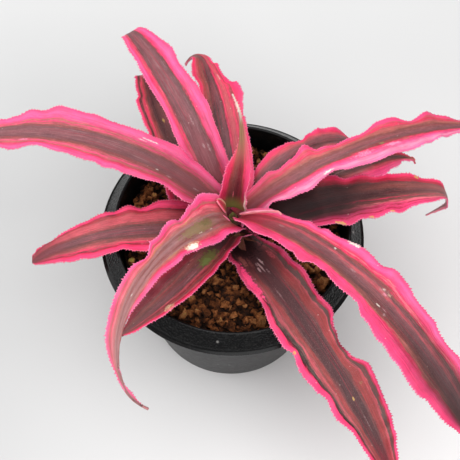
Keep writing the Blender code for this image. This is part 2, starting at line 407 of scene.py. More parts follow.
def along_points(points, share):
    """A smooth curve read through a few (share, value) points, level beyond the last."""
    if not points:
        return 0.0
    before = points[0]
    for after in points:
        if share < after[0]:
            span = max(after[0] - before[0], 1e-6)
            return before[1] + (after[1] - before[1]) * ease(share, before[0], span)
        before = after
    return before[1]


print("between bulges of 1 and 2 mm a margin stands out", along_points(((0.3, 1), (0.7, 2)), 0.5), "mm")

# %% [markdown]
# ## Building a blade
#
# `blade_station` gives the blade's own axes at one step along it: the point on the midrib, the
# direction out to the left margin, the direction up out of the blade, and the half width.
# Near the root the cross-section is a rounded gutter that clasps the stem, and it opens out
# into a shallow channel. Two soft creases run along the blade where the coloured margin meets
# the darker middle, a third one along its midrib, and the margins ripple up and down.

# %% Stations along a blade
def blade_station(leaf, share, middle):
    turn = heading(leaf, share)[0]
    forward = forward_at(leaf, share)
    level = Vector((-math.sin(turn), math.cos(turn), 0.0))
    tilt = leaf["roll"][0] + (leaf["roll"][1] - leaf["roll"][0]) * min(share, 1.0)
    side = Matrix.Rotation(math.radians(tilt), 3, forward) @ level
    return middle, side, forward.cross(side), forward, half_width(leaf, share)


def blade_stations(leaf, steps):
    """The stations from root to tip. A tail runs on past the blade, so its shares pass 1."""
    reach = leaf["length"] + leaf["tail"]
    middle = Vector((LEAF_START, 0.0, 0.0))
    stations = [blade_station(leaf, 0.0, middle)]
    for step in range(steps):
        share = (step + 0.5) / steps * reach / leaf["length"]
        middle = middle + forward_at(leaf, share) * reach / steps
        stations.append(blade_station(leaf, (step + 1) / steps * reach / leaf["length"], middle))
    return stations


sample = {**GROWTH, "length": 60, "width": 15, "rise": 40, "droop": 40}
print("a 60 mm leaf ends", round(blade_stations(sample, 20)[-1][0].x), "mm from the axis")

# %% Across a blade
GUTTER_RADIUS = 4.2  # of the arc that clasps the stem
CHANNEL = 0.15  # how far a margin stands up, as a share of the half width
CREASE_DEPTH = 0.16
CREASE_PLACE = 0.66  # from midrib to margin
CREASE_WIDTH = 0.07
MIDRIB_DEPTH = 0.12
MIDRIB_WIDTH = 0.12


def cross_section(leaf, share, across, half):
    """(out, up) of a point of the blade: a clasping arc at the root, a shallow channel beyond."""
    out = half * across
    up = CHANNEL * half * across ** 2
    hold = 1 - ease(share, 0.0, leaf["clasp"])
    if hold > 0:
        angle = min(abs(out) / GUTTER_RADIUS, 1.5)
        arc_out = math.copysign(GUTTER_RADIUS * math.sin(angle), out)
        arc_up = GUTTER_RADIUS * (1 - math.cos(angle))
        out = out + (arc_out - out) * hold
        up = up + (arc_up - up) * hold
    crease = CREASE_DEPTH * math.exp(-((abs(across) - CREASE_PLACE) / CREASE_WIDTH) ** 2)
    midrib = MIDRIB_DEPTH * math.exp(-(across / MIDRIB_WIDTH) ** 2)
    open_blade = ease(share, 0.0, 0.2) * (1 - ease(share, 0.85, 0.15))
    return out, up - (crease + midrib) * open_blade


print("a leaf's root is clasped over the first", GROWTH["clasp"], "of its length")

# %% [markdown]
# ## Teeth, ripples and thickness
#
# The margin carries a small tooth about every millimetre. The teeth lean towards the tip, and
# no two have one size or spacing. The grid from `create_grid` has four steps to a tooth, and it
# is moved point by point onto the blade, its outermost columns pushed out into the teeth. A
# Solidify modifier gives the blade its flesh, about a millimetre at the midrib and thinning to
# the margins through a vertex group, and its underside takes a second material.

# %% Teeth and ripples
TOOTH_PITCH = 1.05
TOOTH_HEIGHT = 0.52
TOOTH_STEPS = 4  # steps of the grid to each tooth
TOOTH_FLANK = (1.0, 0.3, 0.0, 0.0)  # how far out the margin stands, so many steps from a tooth's tip
TOOTH_LEAN = 0.45  # how far a tooth leans on, as a share of its height
TOOTH_SIZES = (0.35, 1.6, 0.8)  # smallest, largest and most usual, as shares of the height
DRIFT_LENGTH = 21  # the ripples change their beat over about this length


def tooth_push(leaf, step, steps, seed):
    """(out, on) push of a margin point, with one tooth of its own size and place in each pitch."""
    draw = random.Random(seed * 1000 + step // TOOTH_STEPS)
    tip = draw.choice((1, 2, 2))
    size = draw.triangular(*TOOTH_SIZES)
    phase = TOOTH_FLANK[abs(step % TOOTH_STEPS - tip)]
    share = step / steps
    fade = ease(share, 0.0, 0.06) * (1 - 0.5 * ease(share, 0.9, 0.1))
    reach = TOOTH_HEIGHT * leaf["teeth"] * phase * size * fade
    return reach, TOOTH_LEAN * reach


def ripple(leaf, share, side, seed):
    """How far a margin stands up at a share of the length, from its ripples."""
    place = share * leaf["length"]
    drift = noise.noise(Vector((place / DRIFT_LENGTH, side * 7.3, seed * 3.1)))
    beat = math.sin(math.tau * (place / leaf["wave"] + drift * 0.9) + seed + side)
    fade = ease(share, 0.08, 0.2) * (1 - 0.6 * ease(share, 0.85, 0.15)) * (share <= 1)
    return leaf["ruffle"] * fade * (0.75 * beat + 0.9 * drift)


print("teeth every", TOOTH_PITCH, "mm, about", TOOTH_HEIGHT, "mm high")

# %% Place a point of the blade
COLUMNS = (0.0, 0.16, 0.32, 0.48, 0.6, 0.7, 0.79, 0.87, 0.94, 1.0)  # from midrib to margin
TOOTH_ROOT = 0.15  # share of a tooth's push that the column inside the margin takes
RIGHT_SEED = 50  # the right margin's teeth differ from the left one's


def place_point(leaf, stations, step, across, seed):
    steps = len(stations) - 1
    share = step / steps * (leaf["length"] + leaf["tail"]) / leaf["length"]
    middle, side, up, forward, half = stations[step]
    out, lift = cross_section(leaf, share, across, half)
    edge = abs(across)
    hand = math.copysign(1.0, across)
    bulge = along_points(leaf["left"] if across > 0 else leaf["right"], share)
    if leaf["tail"]:
        bulge *= 1 - ease(share, 0.93, 0.07)
    out += hand * bulge * edge ** 2
    lift += (ripple(leaf, share, hand, seed) + 0.25 * bulge) * edge ** 3
    on = 0.0
    if edge > 0.9:
        reach, on = tooth_push(leaf, step, steps, seed + (0 if hand > 0 else RIGHT_SEED))
        reach *= 1.0 if edge == 1.0 else TOOTH_ROOT
        on *= 1.0 if edge == 1.0 else TOOTH_ROOT
        out += hand * reach
    return middle + side * out + up * lift + forward * on


print(len(COLUMNS) * 2 - 1, "columns across a blade")

# %% Build a blade
MARGIN_THICKNESS = 0.28  # as a share of the blade's thickness


def lay_map(shape, spots):
    """Smooths a leaf and gives it its map, across and along from 0 to 1, that its finish reads."""
    layer = shape.loops.layers.uv.new("blade")
    for face in shape.faces:
        face.smooth = True
        for loop in face.loops:
            loop[layer].uv = spots[loop.vert]


def blade_shape(leaf, bearing, base, seed):
    """A leaf as an open surface, each point with its share of the full thickness."""
    long = leaf["length"] + leaf["tail"]
    steps = TOOTH_STEPS * round(long / TOOTH_PITCH)
    across = [-c for c in reversed(COLUMNS[1:])] + list(COLUMNS)
    shape = bmesh.new()
    bmesh.ops.create_grid(shape, x_segments=steps, y_segments=len(across) - 1, size=1.0)
    stations = blade_stations(leaf, steps)
    turned = Matrix.Rotation(math.radians(bearing), 4, "Z")
    to_place = Matrix.Translation((0, 0, LIP + base * MM)) @ turned
    flesh = shape.verts.layers.deform.verify()
    spots = {}
    for vert in shape.verts:
        step = round((vert.co.x + 1) / 2 * steps)
        column = across[round((vert.co.y + 1) / 2 * (len(across) - 1))]
        spots[vert] = ((column + 1) / 2, step / steps * long / leaf["length"])
        vert.co = to_place @ (place_point(leaf, stations, step, column, seed) * MM)
        vert[flesh][0] = 1 - (1 - MARGIN_THICKNESS) * abs(column) ** 2.5
    lay_map(shape, spots)
    return shape


def thicken(piece, label, thickness):
    """Gives an open surface a thickness in millimetres, half of it on each side."""
    solid = piece.modifiers.new(label, "SOLIDIFY")
    solid.thickness = thickness * MM
    solid.offset = 0.0
    return solid


print("a margin is", MARGIN_THICKNESS, "as thick as the midrib")

# %% [markdown]
# ## The leaves' colours
#
# The straps are striped along their length: a hot pink margin, a thin dark or tan line inside
# it, salmon stripes, and a brown to plum middle that darkens towards the root, partly in its own
# colour and partly as painted shade. No two leaves have quite the same stripes, so each has its
# own list of stops, read across the blade from +1 at the left margin to -1 at the right one,
# seen looking out from the stem. The names are looked up in one palette.

# %% Palette
PALETTE = {
    "hot": paint(250, 72, 128),
    "candy": paint(254, 96, 156),
    "rose": paint(240, 50, 98),
    "crimson": paint(180, 26, 58),
    "wine": paint(112, 28, 42),
    "blush": paint(255, 122, 138),
    "salmon": paint(206, 86, 98),
    "brick": paint(164, 64, 64),
    "clay": paint(136, 74, 70),
    "tan": paint(186, 104, 96),
    "mauve": paint(142, 84, 90),
    "plum": paint(120, 74, 80),
    "dusk": paint(78, 44, 47),
    # Near-black: a pigment for dark stripes, and painted shade at the roots of leaves and the foot of the
    # bud.
    "soot": paint(34, 16, 18),
    "ash": paint(90, 74, 68),
    "olive": paint(142, 122, 84),
    "moss": paint(96, 98, 48),
    "fern": paint(104, 122, 62),
    "bark": paint(92, 56, 38),
    "cream": paint(236, 208, 164),
    "chalk": paint(250, 240, 226),
    "straw": paint(204, 166, 96),
    "scurf": paint(176, 142, 144),
    "umber": paint(104, 64, 64),
    "haze": paint(168, 120, 120),
    # A pale pink, used for the margins' own pale edge and for painted sheen on some leaves.
    "bloom": paint(255, 158, 192),
}
print("palette:", ", ".join(PALETTE))

# %% [markdown]
# ## The leaf finish
#
# The colours of a living leaf could be one soft gradient, but this plant's charm is in its
# stripes. They follow the blade, so the finish reads the blade's own map. The position across
# is first shaken by noise stretched along the leaf, so that the stripes waver and feather as
# they do in living tissue. What differs from leaf to leaf is kept as rows of text:
#
# - *bands*: the stripes, each a place across and a colour, with fine threads of *thread*;
# - *tints*: a colour, where it is full from root to tip, where it has gone, and a strength.
#   *rim* is how much of it the coloured margin takes;
# - *marks*: scars and spots, each with its place along and across, its length and width in
#   millimetres, a colour and a strength;
# - *cloud*: the colour of faint patches as wide as the leaf;
# - *edge*: the strength of the pale bloom right on the margin, and *shine*, the gloss.

# %% What a leaf looks like
LOOK = dict(bands="", tints="", marks="", thread="salmon", cloud="tan", rim=0.35, edge=0.45, shine=0.32)


def rows(text):
    """The rows of a small table written as text, such as "0.9 rose, 0.2 plum"."""
    def cell(word):
        return word if word.isalpha() else float(word)
    return [tuple(cell(word) for word in row.split()) for row in text.split(",") if row]


def described(**own):
    """A leaf's whole description: what leaves share, then its own, with its tables read."""
    leaf = {**GROWTH, **LOOK, **own}
    for table in ("left", "right", "bands", "tints", "marks"):
        leaf[table] = rows(leaf[table])
    return leaf


print("two stripes are read as", rows("0.9 rose, 0.2 plum"))

# %% Places on a leaf
def blade_place(shader, leaf, seed):
    """(across -1 to 1, along 0 to 1, place in millimetres) on a blade."""
    spot = source(shader, "ShaderNodeUVMap", uv_map="blade").outputs["UV"]
    across = remap(part_of(spot, "X"), 0.0, 1.0, -1.0, 1.0)
    wired = {"Vector": spot, "Scale": (leaf["width"], leaf["length"], 1.0), "Location": (0, 0, seed * 7.7)}
    return across, part_of(spot, "Y"), node("ShaderNodeMapping", wired).outputs["Vector"]


def drawn_out(place, across_scale, along_scale, detail=2.0, rough=0.5, scale=1.0):
    """Noise drawn out along the leaf: so many waves in a millimetre across, and along."""
    wired = {"Vector": place, "Scale": (across_scale, along_scale, 1.0)}
    stretched = node("ShaderNodeMapping", wired).outputs["Vector"]
    return cloudy(stretched, scale, detail, rough)


print("a leaf's pattern is laid out in millimetres")

# %% Stripes
WAVERS = ((0.22, 0.045, 0.28), (1.6, 0.12, 0.26), (3.6, 0.5, 0.16))  # waves across and along, and reach
STEADY_FROM = 0.8  # from here to the margin the stripes run ever truer


def stripe_colour(leaf, across, place):
    """The leaf's own stripes, wavering in the middle and true at the margins."""
    shaken = across
    for across_scale, along_scale, reach in WAVERS:
        waver = plus(drawn_out(place, across_scale, along_scale, 3.0, 0.6), -0.5)
        shaken = plus(shaken, times(waver, reach))
    held = remap(size_of(across), STEADY_FROM, 1.0)
    spread = node("ShaderNodeMix", {0: held, 2: shaken, 3: across}, data_type="FLOAT").outputs[0]
    stops = [((position + 1) / 2, PALETTE[name]) for position, name in leaf["bands"]]
    return ramp(remap(spread, -1.0, 1.0), stops)


print("stripes waver in", len(WAVERS), "sizes")

# %% Streaks, threads and scurf
def tissue_colour(leaf, colour, centre, place):
    """The fine streaks, mottling, threads, veins and pale scurf. Also (streaks, mottle)."""
    streaks = drawn_out(place, 4.2, 0.12, 4.0, 0.6)
    colour = blend(centre, colour, shaded(colour, remap(streaks, 0.25, 0.75, 0.62, 1.26)))
    mottle = drawn_out(place, 0.8, 0.3, 6.0, 0.7)
    mottled = shaded(colour, remap(mottle, 0.3, 0.7, 0.74, 1.2))
    colour = blend(remap(centre, 0.25, 1.0, 0.45, 1.0), colour, mottled)
    threads = drawn_out(place, 3.1, 0.05, scale=1.3)
    colour = laid(colour, PALETTE[leaf["thread"]], threads, 0.56, 0.7, 0.4, within=centre, smooth=True)
    veins = drawn_out(place, 2.3, 0.04, 3.0)
    colour = laid(colour, PALETTE["crimson"], veins, 0.54, 0.7, 0.38, smooth=True)
    scurf = cloudy(place, 2.2, 4.0, 0.7)
    return laid(colour, PALETTE["scurf"], scurf, 0.54, 0.72, 0.3, within=centre), (streaks, mottle)


def tinted_colour(leaf, colour, centre, along, place):
    """Tints from root to tip, faint clouds, and a few pale scales."""
    held = remap(centre, 0.25, 1.0, leaf["rim"], 1.0)
    # The dark tints towards a root are partly the leaf's own colour and partly painted shade, where the
    # leaves over it shade the root.
    for name, full, gone, strength in leaf["tints"]:
        colour = laid(colour, PALETTE[name], along, gone, full, strength, within=held, smooth=True)
    colour = laid(colour, PALETTE[leaf["cloud"]], cloudy(place, 0.09, 3.0), 0.45, 0.75, 0.22)
    return blend(specks(place, 0.55, 0.9, 0.14, 0.05, 0.4), colour, PALETTE["chalk"])


print("tissue ready")

# %% Marks
WHOLE_MARK = 0.8  # a mark at least this strong has few holes


def vector_node(operation, first, second=(0.0, 0.0, 0.0)):
    return node("ShaderNodeVectorMath", {0: first, 1: second}, operation=operation)


def add_mark(colour, place, leaf, mark):
    """A scar or spot, ragged at its rim and broken within, laid over a colour."""
    along, across, long, wide, name, strength = mark
    middle = ((across + 1) / 2 * leaf["width"], along * leaf["length"], 0.0)
    flat = vector_node("MULTIPLY", place, (1.0, 1.0, 0.0)).outputs[0]
    away = vector_node("SUBTRACT", flat, middle).outputs[0]
    scaled = vector_node("MULTIPLY", away, (2 / wide, 2 / long, 1.0)).outputs[0]
    reach = vector_node("LENGTH", scaled).outputs["Value"]
    ragged = plus(times(cloudy(place, 0.9, 4.0, 0.7), 2.4), -1.2)
    torn = drawn_out(place, 3.6, 1.6, 5.0, 0.75)
    broken = remap(torn, 0.44, 0.54, 0.75 if strength >= WHOLE_MARK else 0.1, 1.0)
    return laid(colour, PALETTE[name], plus(reach, ragged), 1.05, 0.6, strength, within=broken, smooth=True)


print("marks ready")

# %% The upper side of a leaf
FLESH_GLOW = (0.9, 0.35, 0.25)  # how far red, green and blue light spread in the flesh


def leaf_finish(name, leaf, seed):
    material, shader = new_material(name)
    across, along, place = blade_place(shader, leaf, seed)
    edge = size_of(across)
    centre = remap(edge, 0.95, 0.5, 0.25, 1.0, smooth=True)
    stripes = stripe_colour(leaf, across, place)
    colour, (streaks, mottle) = tissue_colour(leaf, stripes, centre, place)
    colour = tinted_colour(leaf, colour, centre, along, place)
    for mark in leaf["marks"]:
        colour = add_mark(colour, place, leaf, mark)
    colour = laid(colour, PALETTE["bloom"], edge, 0.97, 1.0, leaf["edge"], smooth=True)
    rough = remap(cloudy(place, 0.25, 4.0), 0.3, 0.7, 0.36, 0.52)
    wire_up(shader, colour, rough, plus(streaks, times(mottle, 0.5)), 0.5, 0.25 * MM)
    shader.inputs["Specular IOR Level"].default_value = leaf["shine"]
    shader.inputs["Subsurface Weight"].default_value = 0.12
    shader.inputs["Subsurface Radius"].default_value = FLESH_GLOW
    shader.inputs["Subsurface Scale"].default_value = 1.4 * MM
    return material


print("upper sides ready")

# %% [markdown]
# ## The underside
#
# The underside has the same stripes, but it is duller and frosted with grey scales that drink
# the dew, so it gets a paler, rougher finish of its own.

# %% The underside of a leaf
UNDERSIDE_SEED = 3  # the stripes waver otherwise than on the upper side


def underside_finish(name, leaf, seed):
    material, shader = new_material(name)
    across, _, place = blade_place(shader, leaf, seed + UNDERSIDE_SEED)
    frost = drawn_out(place, 2.2, 0.35, 5.0, 0.65)
    colour = stripe_colour(leaf, across, place)
    colour = blend(remap(frost, 0.3, 0.7, 0.3, 0.62), colour, paint(190, 150, 152))
    scales = cells(place, 2.6).outputs["Distance"]
    colour = laid(colour, paint(225, 205, 204), scales, 0.45, 0.15, 0.3)
    wire_up(shader, colour, remap(frost, 0.3, 0.7, 0.5, 0.68), frost, 0.4, 0.2 * MM)
    return material


print("undersides ready")

# %% [markdown]
# ## The sixteen leaves
#
# Each leaf is one cell. `grow` builds its blade and its two finishes, from its place in the
# rosette, its shape, the bulges of its margins and its stripes, tints and marks. The lowest
# leaves come first, because they are the oldest and the youngest leaves stand over them.

# %% Grow a leaf
BLADE_THICKNESS = 1.05
grown = []


def grow(name, bearing, base, **own):
    """One leaf at a bearing, its root a height above the lip, in place of its plain node."""
    leaf = described(**own)
    seed = len(grown) + 1
    finishes = [leaf_finish(name + "_top", leaf, seed), underside_finish(name + "_under", leaf, seed)]
    blade = blade_shape(leaf, bearing, base, seed)
    piece = into_object(name.replace("leaf", "blade"), blade, finishes)
    piece.vertex_groups.new(name="flesh")
    solid = thicken(piece, "Flesh", BLADE_THICKNESS)
    solid.vertex_group = "flesh"
    solid.material_offset = 1
    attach(piece, "root")
    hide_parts(name)
    grown.append(piece)
    print(piece.name, len(piece.data.polygons), "faces,", leaf["length"], "x", leaf["width"], "mm")


print("a blade is", BLADE_THICKNESS, "mm thick at its midrib")

# %% Lowest leaf, at the back left
grow(
    "leaf_back_left_low", bearing=135, base=-10.3, length=86, width=22.5, rise=24, droop=31, bend=1.3,
    swing=-32, late=0.8, taper=2, roll=(-10, 0), curl=70,
    left="0.26 1.7, 0.34 0.7, 0.57 -0.9, 0.66 0.3, 0.76 1.7, 0.775 0.6, 0.84 1.4",
    right="0.4 -0.4, 0.6 0.6, 0.8 -0.3",
    bands="1 hot, 0.92 rose, 0.86 umber, 0.8 dusk, 0.74 salmon, 0.64 rose, 0.56 salmon, 0.48 brick, "
    "0.36 umber, 0.2 dusk, -0.1 umber, -0.3 plum, -0.44 brick, -0.6 salmon, -0.74 rose, -1 hot",
    tints="dusk 0 0.45 0.5",
    marks="0.62 -0.04 2.4 1.6 straw 0.9",
)

# %% Long leaf at the front
grow(
    "leaf_front", bearing=-58, base=-10.2, length=119, width=21, rise=29, droop=70, bend=1.1, swing=1,
    taper=5, point=0.9, roll=(6, 5), ruffle=1.0, cloud="dusk", thread="umber",
    left="0.12 1.5, 0.22 0.5, 0.28 1.4, 0.38 0, 0.43 1.3, 0.49 -2.2, 0.54 -3.3, 0.58 -2.4, 0.64 2.2, "
    "0.8 1.9, 0.94 0.8",
    right="0.08 2, 0.12 -0.8, 0.2 -1.4, 0.28 -2.1, 0.39 0.7, 0.46 1.4, 0.49 -0.4, 0.55 1.4, 0.62 0.7, "
    "0.66 -1.2, 0.72 0.2, 0.79 -1.9, 0.95 0",
    bands="1 hot, 0.93 hot, 0.88 crimson, 0.85 ash, 0.8 umber, 0.76 ash, 0.72 salmon, 0.62 brick, "
    "0.48 brick, 0.36 umber, 0.26 dusk, -0.18 dusk, -0.28 umber, -0.38 brick, -0.48 clay, -0.56 salmon, "
    "-0.66 ash, -0.74 soot, -0.8 rose, -0.87 hot, -1 hot",
    # Painted shadow: the near-black tint over the root and the large near-black mark at it stand in for the
    # shade under the leaves above.
    tints="soot 0.12 0.28 0.9, dusk 0.2 0.55 0.35, crimson 1 0.8 0.4",
    marks="0.2 -0.74 22 3.6 hot 0.95, 0.03 0 22 26 soot 1, 0.53 0.95 14 2.2 wine 0.95, "
    "0.11 -0.5 7 3 clay 0.9, 0.15 0.62 6 2 salmon 0.5, 0.15 0.16 4.5 0.9 scurf 0.9, "
    "0.17 0.02 5 0.8 scurf 0.8, 0.175 -0.12 3.6 0.9 scurf 0.8, 0.15 -0.05 2.4 1.6 scurf 0.5, "
    "0.2 0.12 3 0.7 scurf 0.6, 0.13 -0.25 7 2 clay 0.5, 0.7 0.05 1.5 1 straw 0.8, "
    "0.67 0.55 1.6 1.2 olive 0.7, 0.49 -0.93 1.6 1.3 straw 0.9, 0.3 -0.1 8 0.7 scurf 0.5, "
    "0.78 0.1 9 0.6 scurf 0.4",
)

# %% Dark leaf at the right
grow(
    "leaf_right", bearing=12, base=-8.0, length=96, width=18.5, rise=34, droop=57, bend=0.8, swing=-2,
    taper=5, point=0.9, roll=(18, 3), curl=60, tail=12, tail_width=2.6, tail_fold=48, tail_turn=-6,
    shine=0.14, rim=0.25, cloud="umber", thread="tan",
    left="0.1 0.5, 0.22 2.5, 0.34 2.6, 0.43 1.6, 0.48 -1, 0.54 0.2, 0.6 -1.4, 0.66 0, 0.74 0.2, "
    "0.8 -0.4, 0.9 0.1",
    right="0.28 -1.5, 0.39 -0.4, 0.46 1.6, 0.51 0.3, 0.58 0.7, 0.63 -0.4, 0.67 0.7, 0.74 -1.4, 0.9 -1.9",
    bands="1 hot, 0.9 rose, 0.78 crimson, 0.7 crimson, 0.62 umber, 0.48 clay, 0.34 clay, 0.22 umber, "
    "0.08 dusk, -0.1 umber, -0.16 clay, -0.21 rose, -0.26 ash, -0.38 clay, -0.46 blush, -0.54 hot, "
    "-0.6 crimson, -0.65 hot, -0.75 hot, -0.79 crimson, -0.84 hot, -1 hot",
    # The near-black root half is partly the leaf's own dark colour and partly painted shade from the leaves
    # above it.
    tints="soot 0.42 0.74 0.95, haze 0.98 0.66 0.45",
    marks="0.78 0.92 2.5 1.6 straw 0.9, 0.42 -0.96 5 1.4 straw 0.9, 0.55 -0.96 2.5 1 straw 0.8, "
    "0.64 -0.96 2 1 straw 0.8",
)

# %% Leaf at the left
grow(
    "leaf_left", bearing=185, base=-7.5, length=82, width=21.5, rise=27, droop=59, bend=1, swing=11,
    taper=5, point=0.55, roll=(-1, 2), curl=15, rim=0.4, cloud="umber",
    left="0.36 -0.3, 0.46 -0.8, 0.51 -2, 0.55 -1.2, 0.67 -0.6, 0.8 -0.8, 0.88 -2, 0.95 -1.8, 1 -0.8",
    right="0.18 0.6, 0.31 0.6, 0.41 -1.6, 0.46 -0.5, 0.54 -1.6, 0.62 -2, 0.69 -2.7, 0.78 -3.5, "
    "0.84 -3.6, 0.91 -2.4, 0.96 -1, 1 1.2",
    bands="1 rose, 0.9 hot, 0.76 rose, 0.68 crimson, 0.64 umber, 0.59 rose, 0.5 salmon, 0.38 clay, "
    "0.26 umber, 0.14 plum, -0.04 plum, -0.16 umber, -0.24 clay, -0.32 salmon, -0.46 salmon, -0.58 salmon, "
    "-0.67 brick, -0.73 crimson, -0.77 dusk, -0.82 rose, -0.9 hot, -1 rose",
    tints="soot 0.1 0.36 0.8, wine 1 0.68 0.7",
)

# %% Low leaf at the right back
grow(
    "leaf_right_back_low", bearing=27, base=-9.2, length=78.5, width=17, rise=31, droop=46, swing=-9,
    taper=3.5, roll=(26, 6), ruffle=0.4, hook=-15, tail=2.4, tail_width=1.6, tail_fold=4, tail_turn=-70,
    cloud="scurf", rim=0.2, thread="scurf",
    right="0.1 -1.5, 0.3 -2.4, 0.48 -3.2, 0.6 -2.8, 0.68 -0.6, 0.74 0.3, 0.8 1.3, 0.86 0.2, 0.91 0.2, "
    "0.95 -1.4, 0.99 0.4",
    bands="1 rose, 0.7 rose, 0.5 brick, 0.34 umber, 0.2 ash, 0 umber, -0.1 ash, -0.2 clay, "
    "-0.34 salmon, -0.5 hot, -1 candy",
    tints="soot 0.3 0.62 0.75, tan 1 0.95 0.9",
    marks="0.97 -0.3 4 3 olive 0.6, 0.62 0.1 12 1 scurf 0.5",
)

# %% Dark leaf at the front left
grow(
    "leaf_front_left", bearing=241, base=-5, length=64, width=14.5, rise=25, droop=35, bend=1.4, swing=-23,
    taper=4, point=0.7, roll=(4, 22), ruffle=0.4, clasp=0.3, thread="clay", cloud="dusk", rim=0.3,
    left="0 2, 0.09 2.4, 0.19 -0.1, 0.28 -1.1, 0.4 -0.2, 0.9 -0.4",
    right="0.19 -1, 0.3 0.9, 0.45 1.2, 0.63 1.8, 0.8 1.4, 0.94 0.2",
    # Painted shade: the right margin is painted wine and crimson where the arched leaf lies over it and
    # shades it.
    bands="1 hot, 0.9 rose, 0.8 crimson, 0.72 salmon, 0.66 umber, 0.58 brick, 0.48 wine, 0.36 salmon, "
    "0.26 umber, 0.1 plum, -0.2 umber, -0.4 clay, -0.54 umber, -0.7 wine, -0.88 wine, -1 crimson",
    tints="soot 0.1 0.4 0.7, umber 0.95 0.7 0.3",
    marks="0.27 0.06 13 6 moss 0.95, 0.3 0.1 6 3 fern 0.8, 0.7 0.76 4.6 3.6 cream 0.7, "
    "0.34 -0.55 3 0.6 tan 0.6, 0.45 0.1 9 0.6 scurf 0.4",
)

# %% Leaf behind, to the right
grow(
    "leaf_back_right", bearing=58, base=-3.7, length=76, width=13, rise=35, droop=99, bend=1.4, swing=-39,
    late=0.9, taper=3.5, point=0.7, roll=(-8, 4),
    left="0.24 -1, 0.39 1, 0.48 0.2, 0.56 -1.8, 0.62 0.3, 0.71 1.2, 0.81 1.1, 0.92 0",
    right="0.4 0.5, 0.6 -0.5",
    bands="1 hot, 0.82 rose, 0.7 salmon, 0.45 mauve, 0.2 plum, -0.1 dusk, -0.3 plum, -0.45 salmon, "
    "-0.7 hot, -1 hot",
    tints="dusk 0.1 0.5 0.7",
)

# %% Leaf at the back
grow(
    "leaf_back", bearing=95, base=-1.4, length=85, width=20.5, rise=40, droop=60, bend=0.9, swing=21,
    late=1.6, taper=3, point=1, roll=(-4, 14), curl=45, hook=75, thread="rose",
    left="0.5 -0.5, 0.66 -1.2, 0.74 1.3, 0.8 0.9, 0.9 0",
    right="0.48 -0.5, 0.54 0.5, 0.59 2.1, 0.655 2.2, 0.675 -0.3, 0.74 -0.9, 0.8 -0.5, 0.805 -1.8, "
    "0.88 -0.6, 0.97 -1.6",
    bands="1 rose, 0.84 rose, 0.74 salmon, 0.62 brick, 0.46 clay, 0.3 dusk, -0.04 plum, -0.13 dusk, "
    "-0.2 rose, -0.34 salmon, -0.5 salmon, -0.6 rose, -0.68 clay, -0.76 rose, -1 hot",
    tints="dusk 0.2 0.7 0.4, clay 0.95 0.84 0.8",
    marks="0.71 -0.5 4 1.2 chalk 0.5, 0.975 0 5 6 soot 0.7",
)

# %% Tall leaf at the back left
grow(
    "leaf_back_left_tall", bearing=117, base=1.0, length=102, width=16.5, rise=42, droop=65, bend=1.1,
    swing=8, taper=5, point=0.9, roll=(1, -2), curl=65, ruffle=0.5, cloud="mauve", thread="scurf",
    left="0.24 -1.2, 0.33 0, 0.48 -0.9, 0.62 0, 0.71 -0.5, 0.82 0",
    right="0.2 -0.9, 0.34 0, 0.44 1.3, 0.5 1.1, 0.62 0, 0.7 1.5, 0.8 0.9, 0.88 0.2",
    bands="1 hot, 0.86 candy, 0.74 hot, 0.68 rose, 0.62 salmon, 0.57 rose, 0.48 umber, 0.3 plum, "
    "0 mauve, -0.28 plum, -0.42 umber, -0.48 rose, -0.56 hot, -0.76 candy, -1 hot",
    tints="wine 0.12 0.5 0.7",
    marks="0.29 -0.1 3 1 scurf 0.6, 0.4 -0.1 5 1 scurf 0.6, 0.28 -0.3 4 1 scurf 0.6",
)

# %% Long leaf at the right
grow(
    "leaf_right_long", bearing=29, base=2.8, length=117, width=15, rise=41, droop=72, bend=0.7, swing=-10,
    late=1.4, taper=4.5, point=0.7, roll=(2, -4), cloud="clay", thread="tan",
    left="0.16 0.5, 0.2 -1.2, 0.25 0.2, 0.31 2.3, 0.345 -1.6, 0.42 -2.9, 0.49 -2.3, 0.58 0.9, 0.62 1, "
    "0.69 -1, 0.78 2.1, 0.84 -0.2",
    right="0.08 1, 0.13 -2.5, 0.2 -0.6, 0.26 0.2, 0.34 -2.3, 0.4 0, 0.5 1.2, 0.65 1.1, 0.8 -1, "
    "0.9 -0.6",
    bands="1 hot, 0.88 hot, 0.78 salmon, 0.7 rose, 0.6 salmon, 0.48 tan, 0.34 clay, 0.1 mauve, "
    "-0.12 plum, -0.24 clay, -0.32 rose, -0.42 hot, -0.56 candy, -0.8 bloom, -1 candy",
    tints="wine 0.05 0.3 0.6",
    # Painted highlights: the white mark on the right margin and the three pale bloom marks on the right half
    # stand in for glossy glints.
    marks="0.335 -0.78 5 2.2 chalk 0.9, 0.47 -0.45 9 2.2 bloom 0.7, 0.58 -0.45 9 1.5 bloom 0.8, "
    "0.55 -0.22 3 1.2 olive 0.8, 0.64 -0.35 3.6 1 olive 0.6, 0.3 -0.6 8 1.6 bloom 0.6",
)

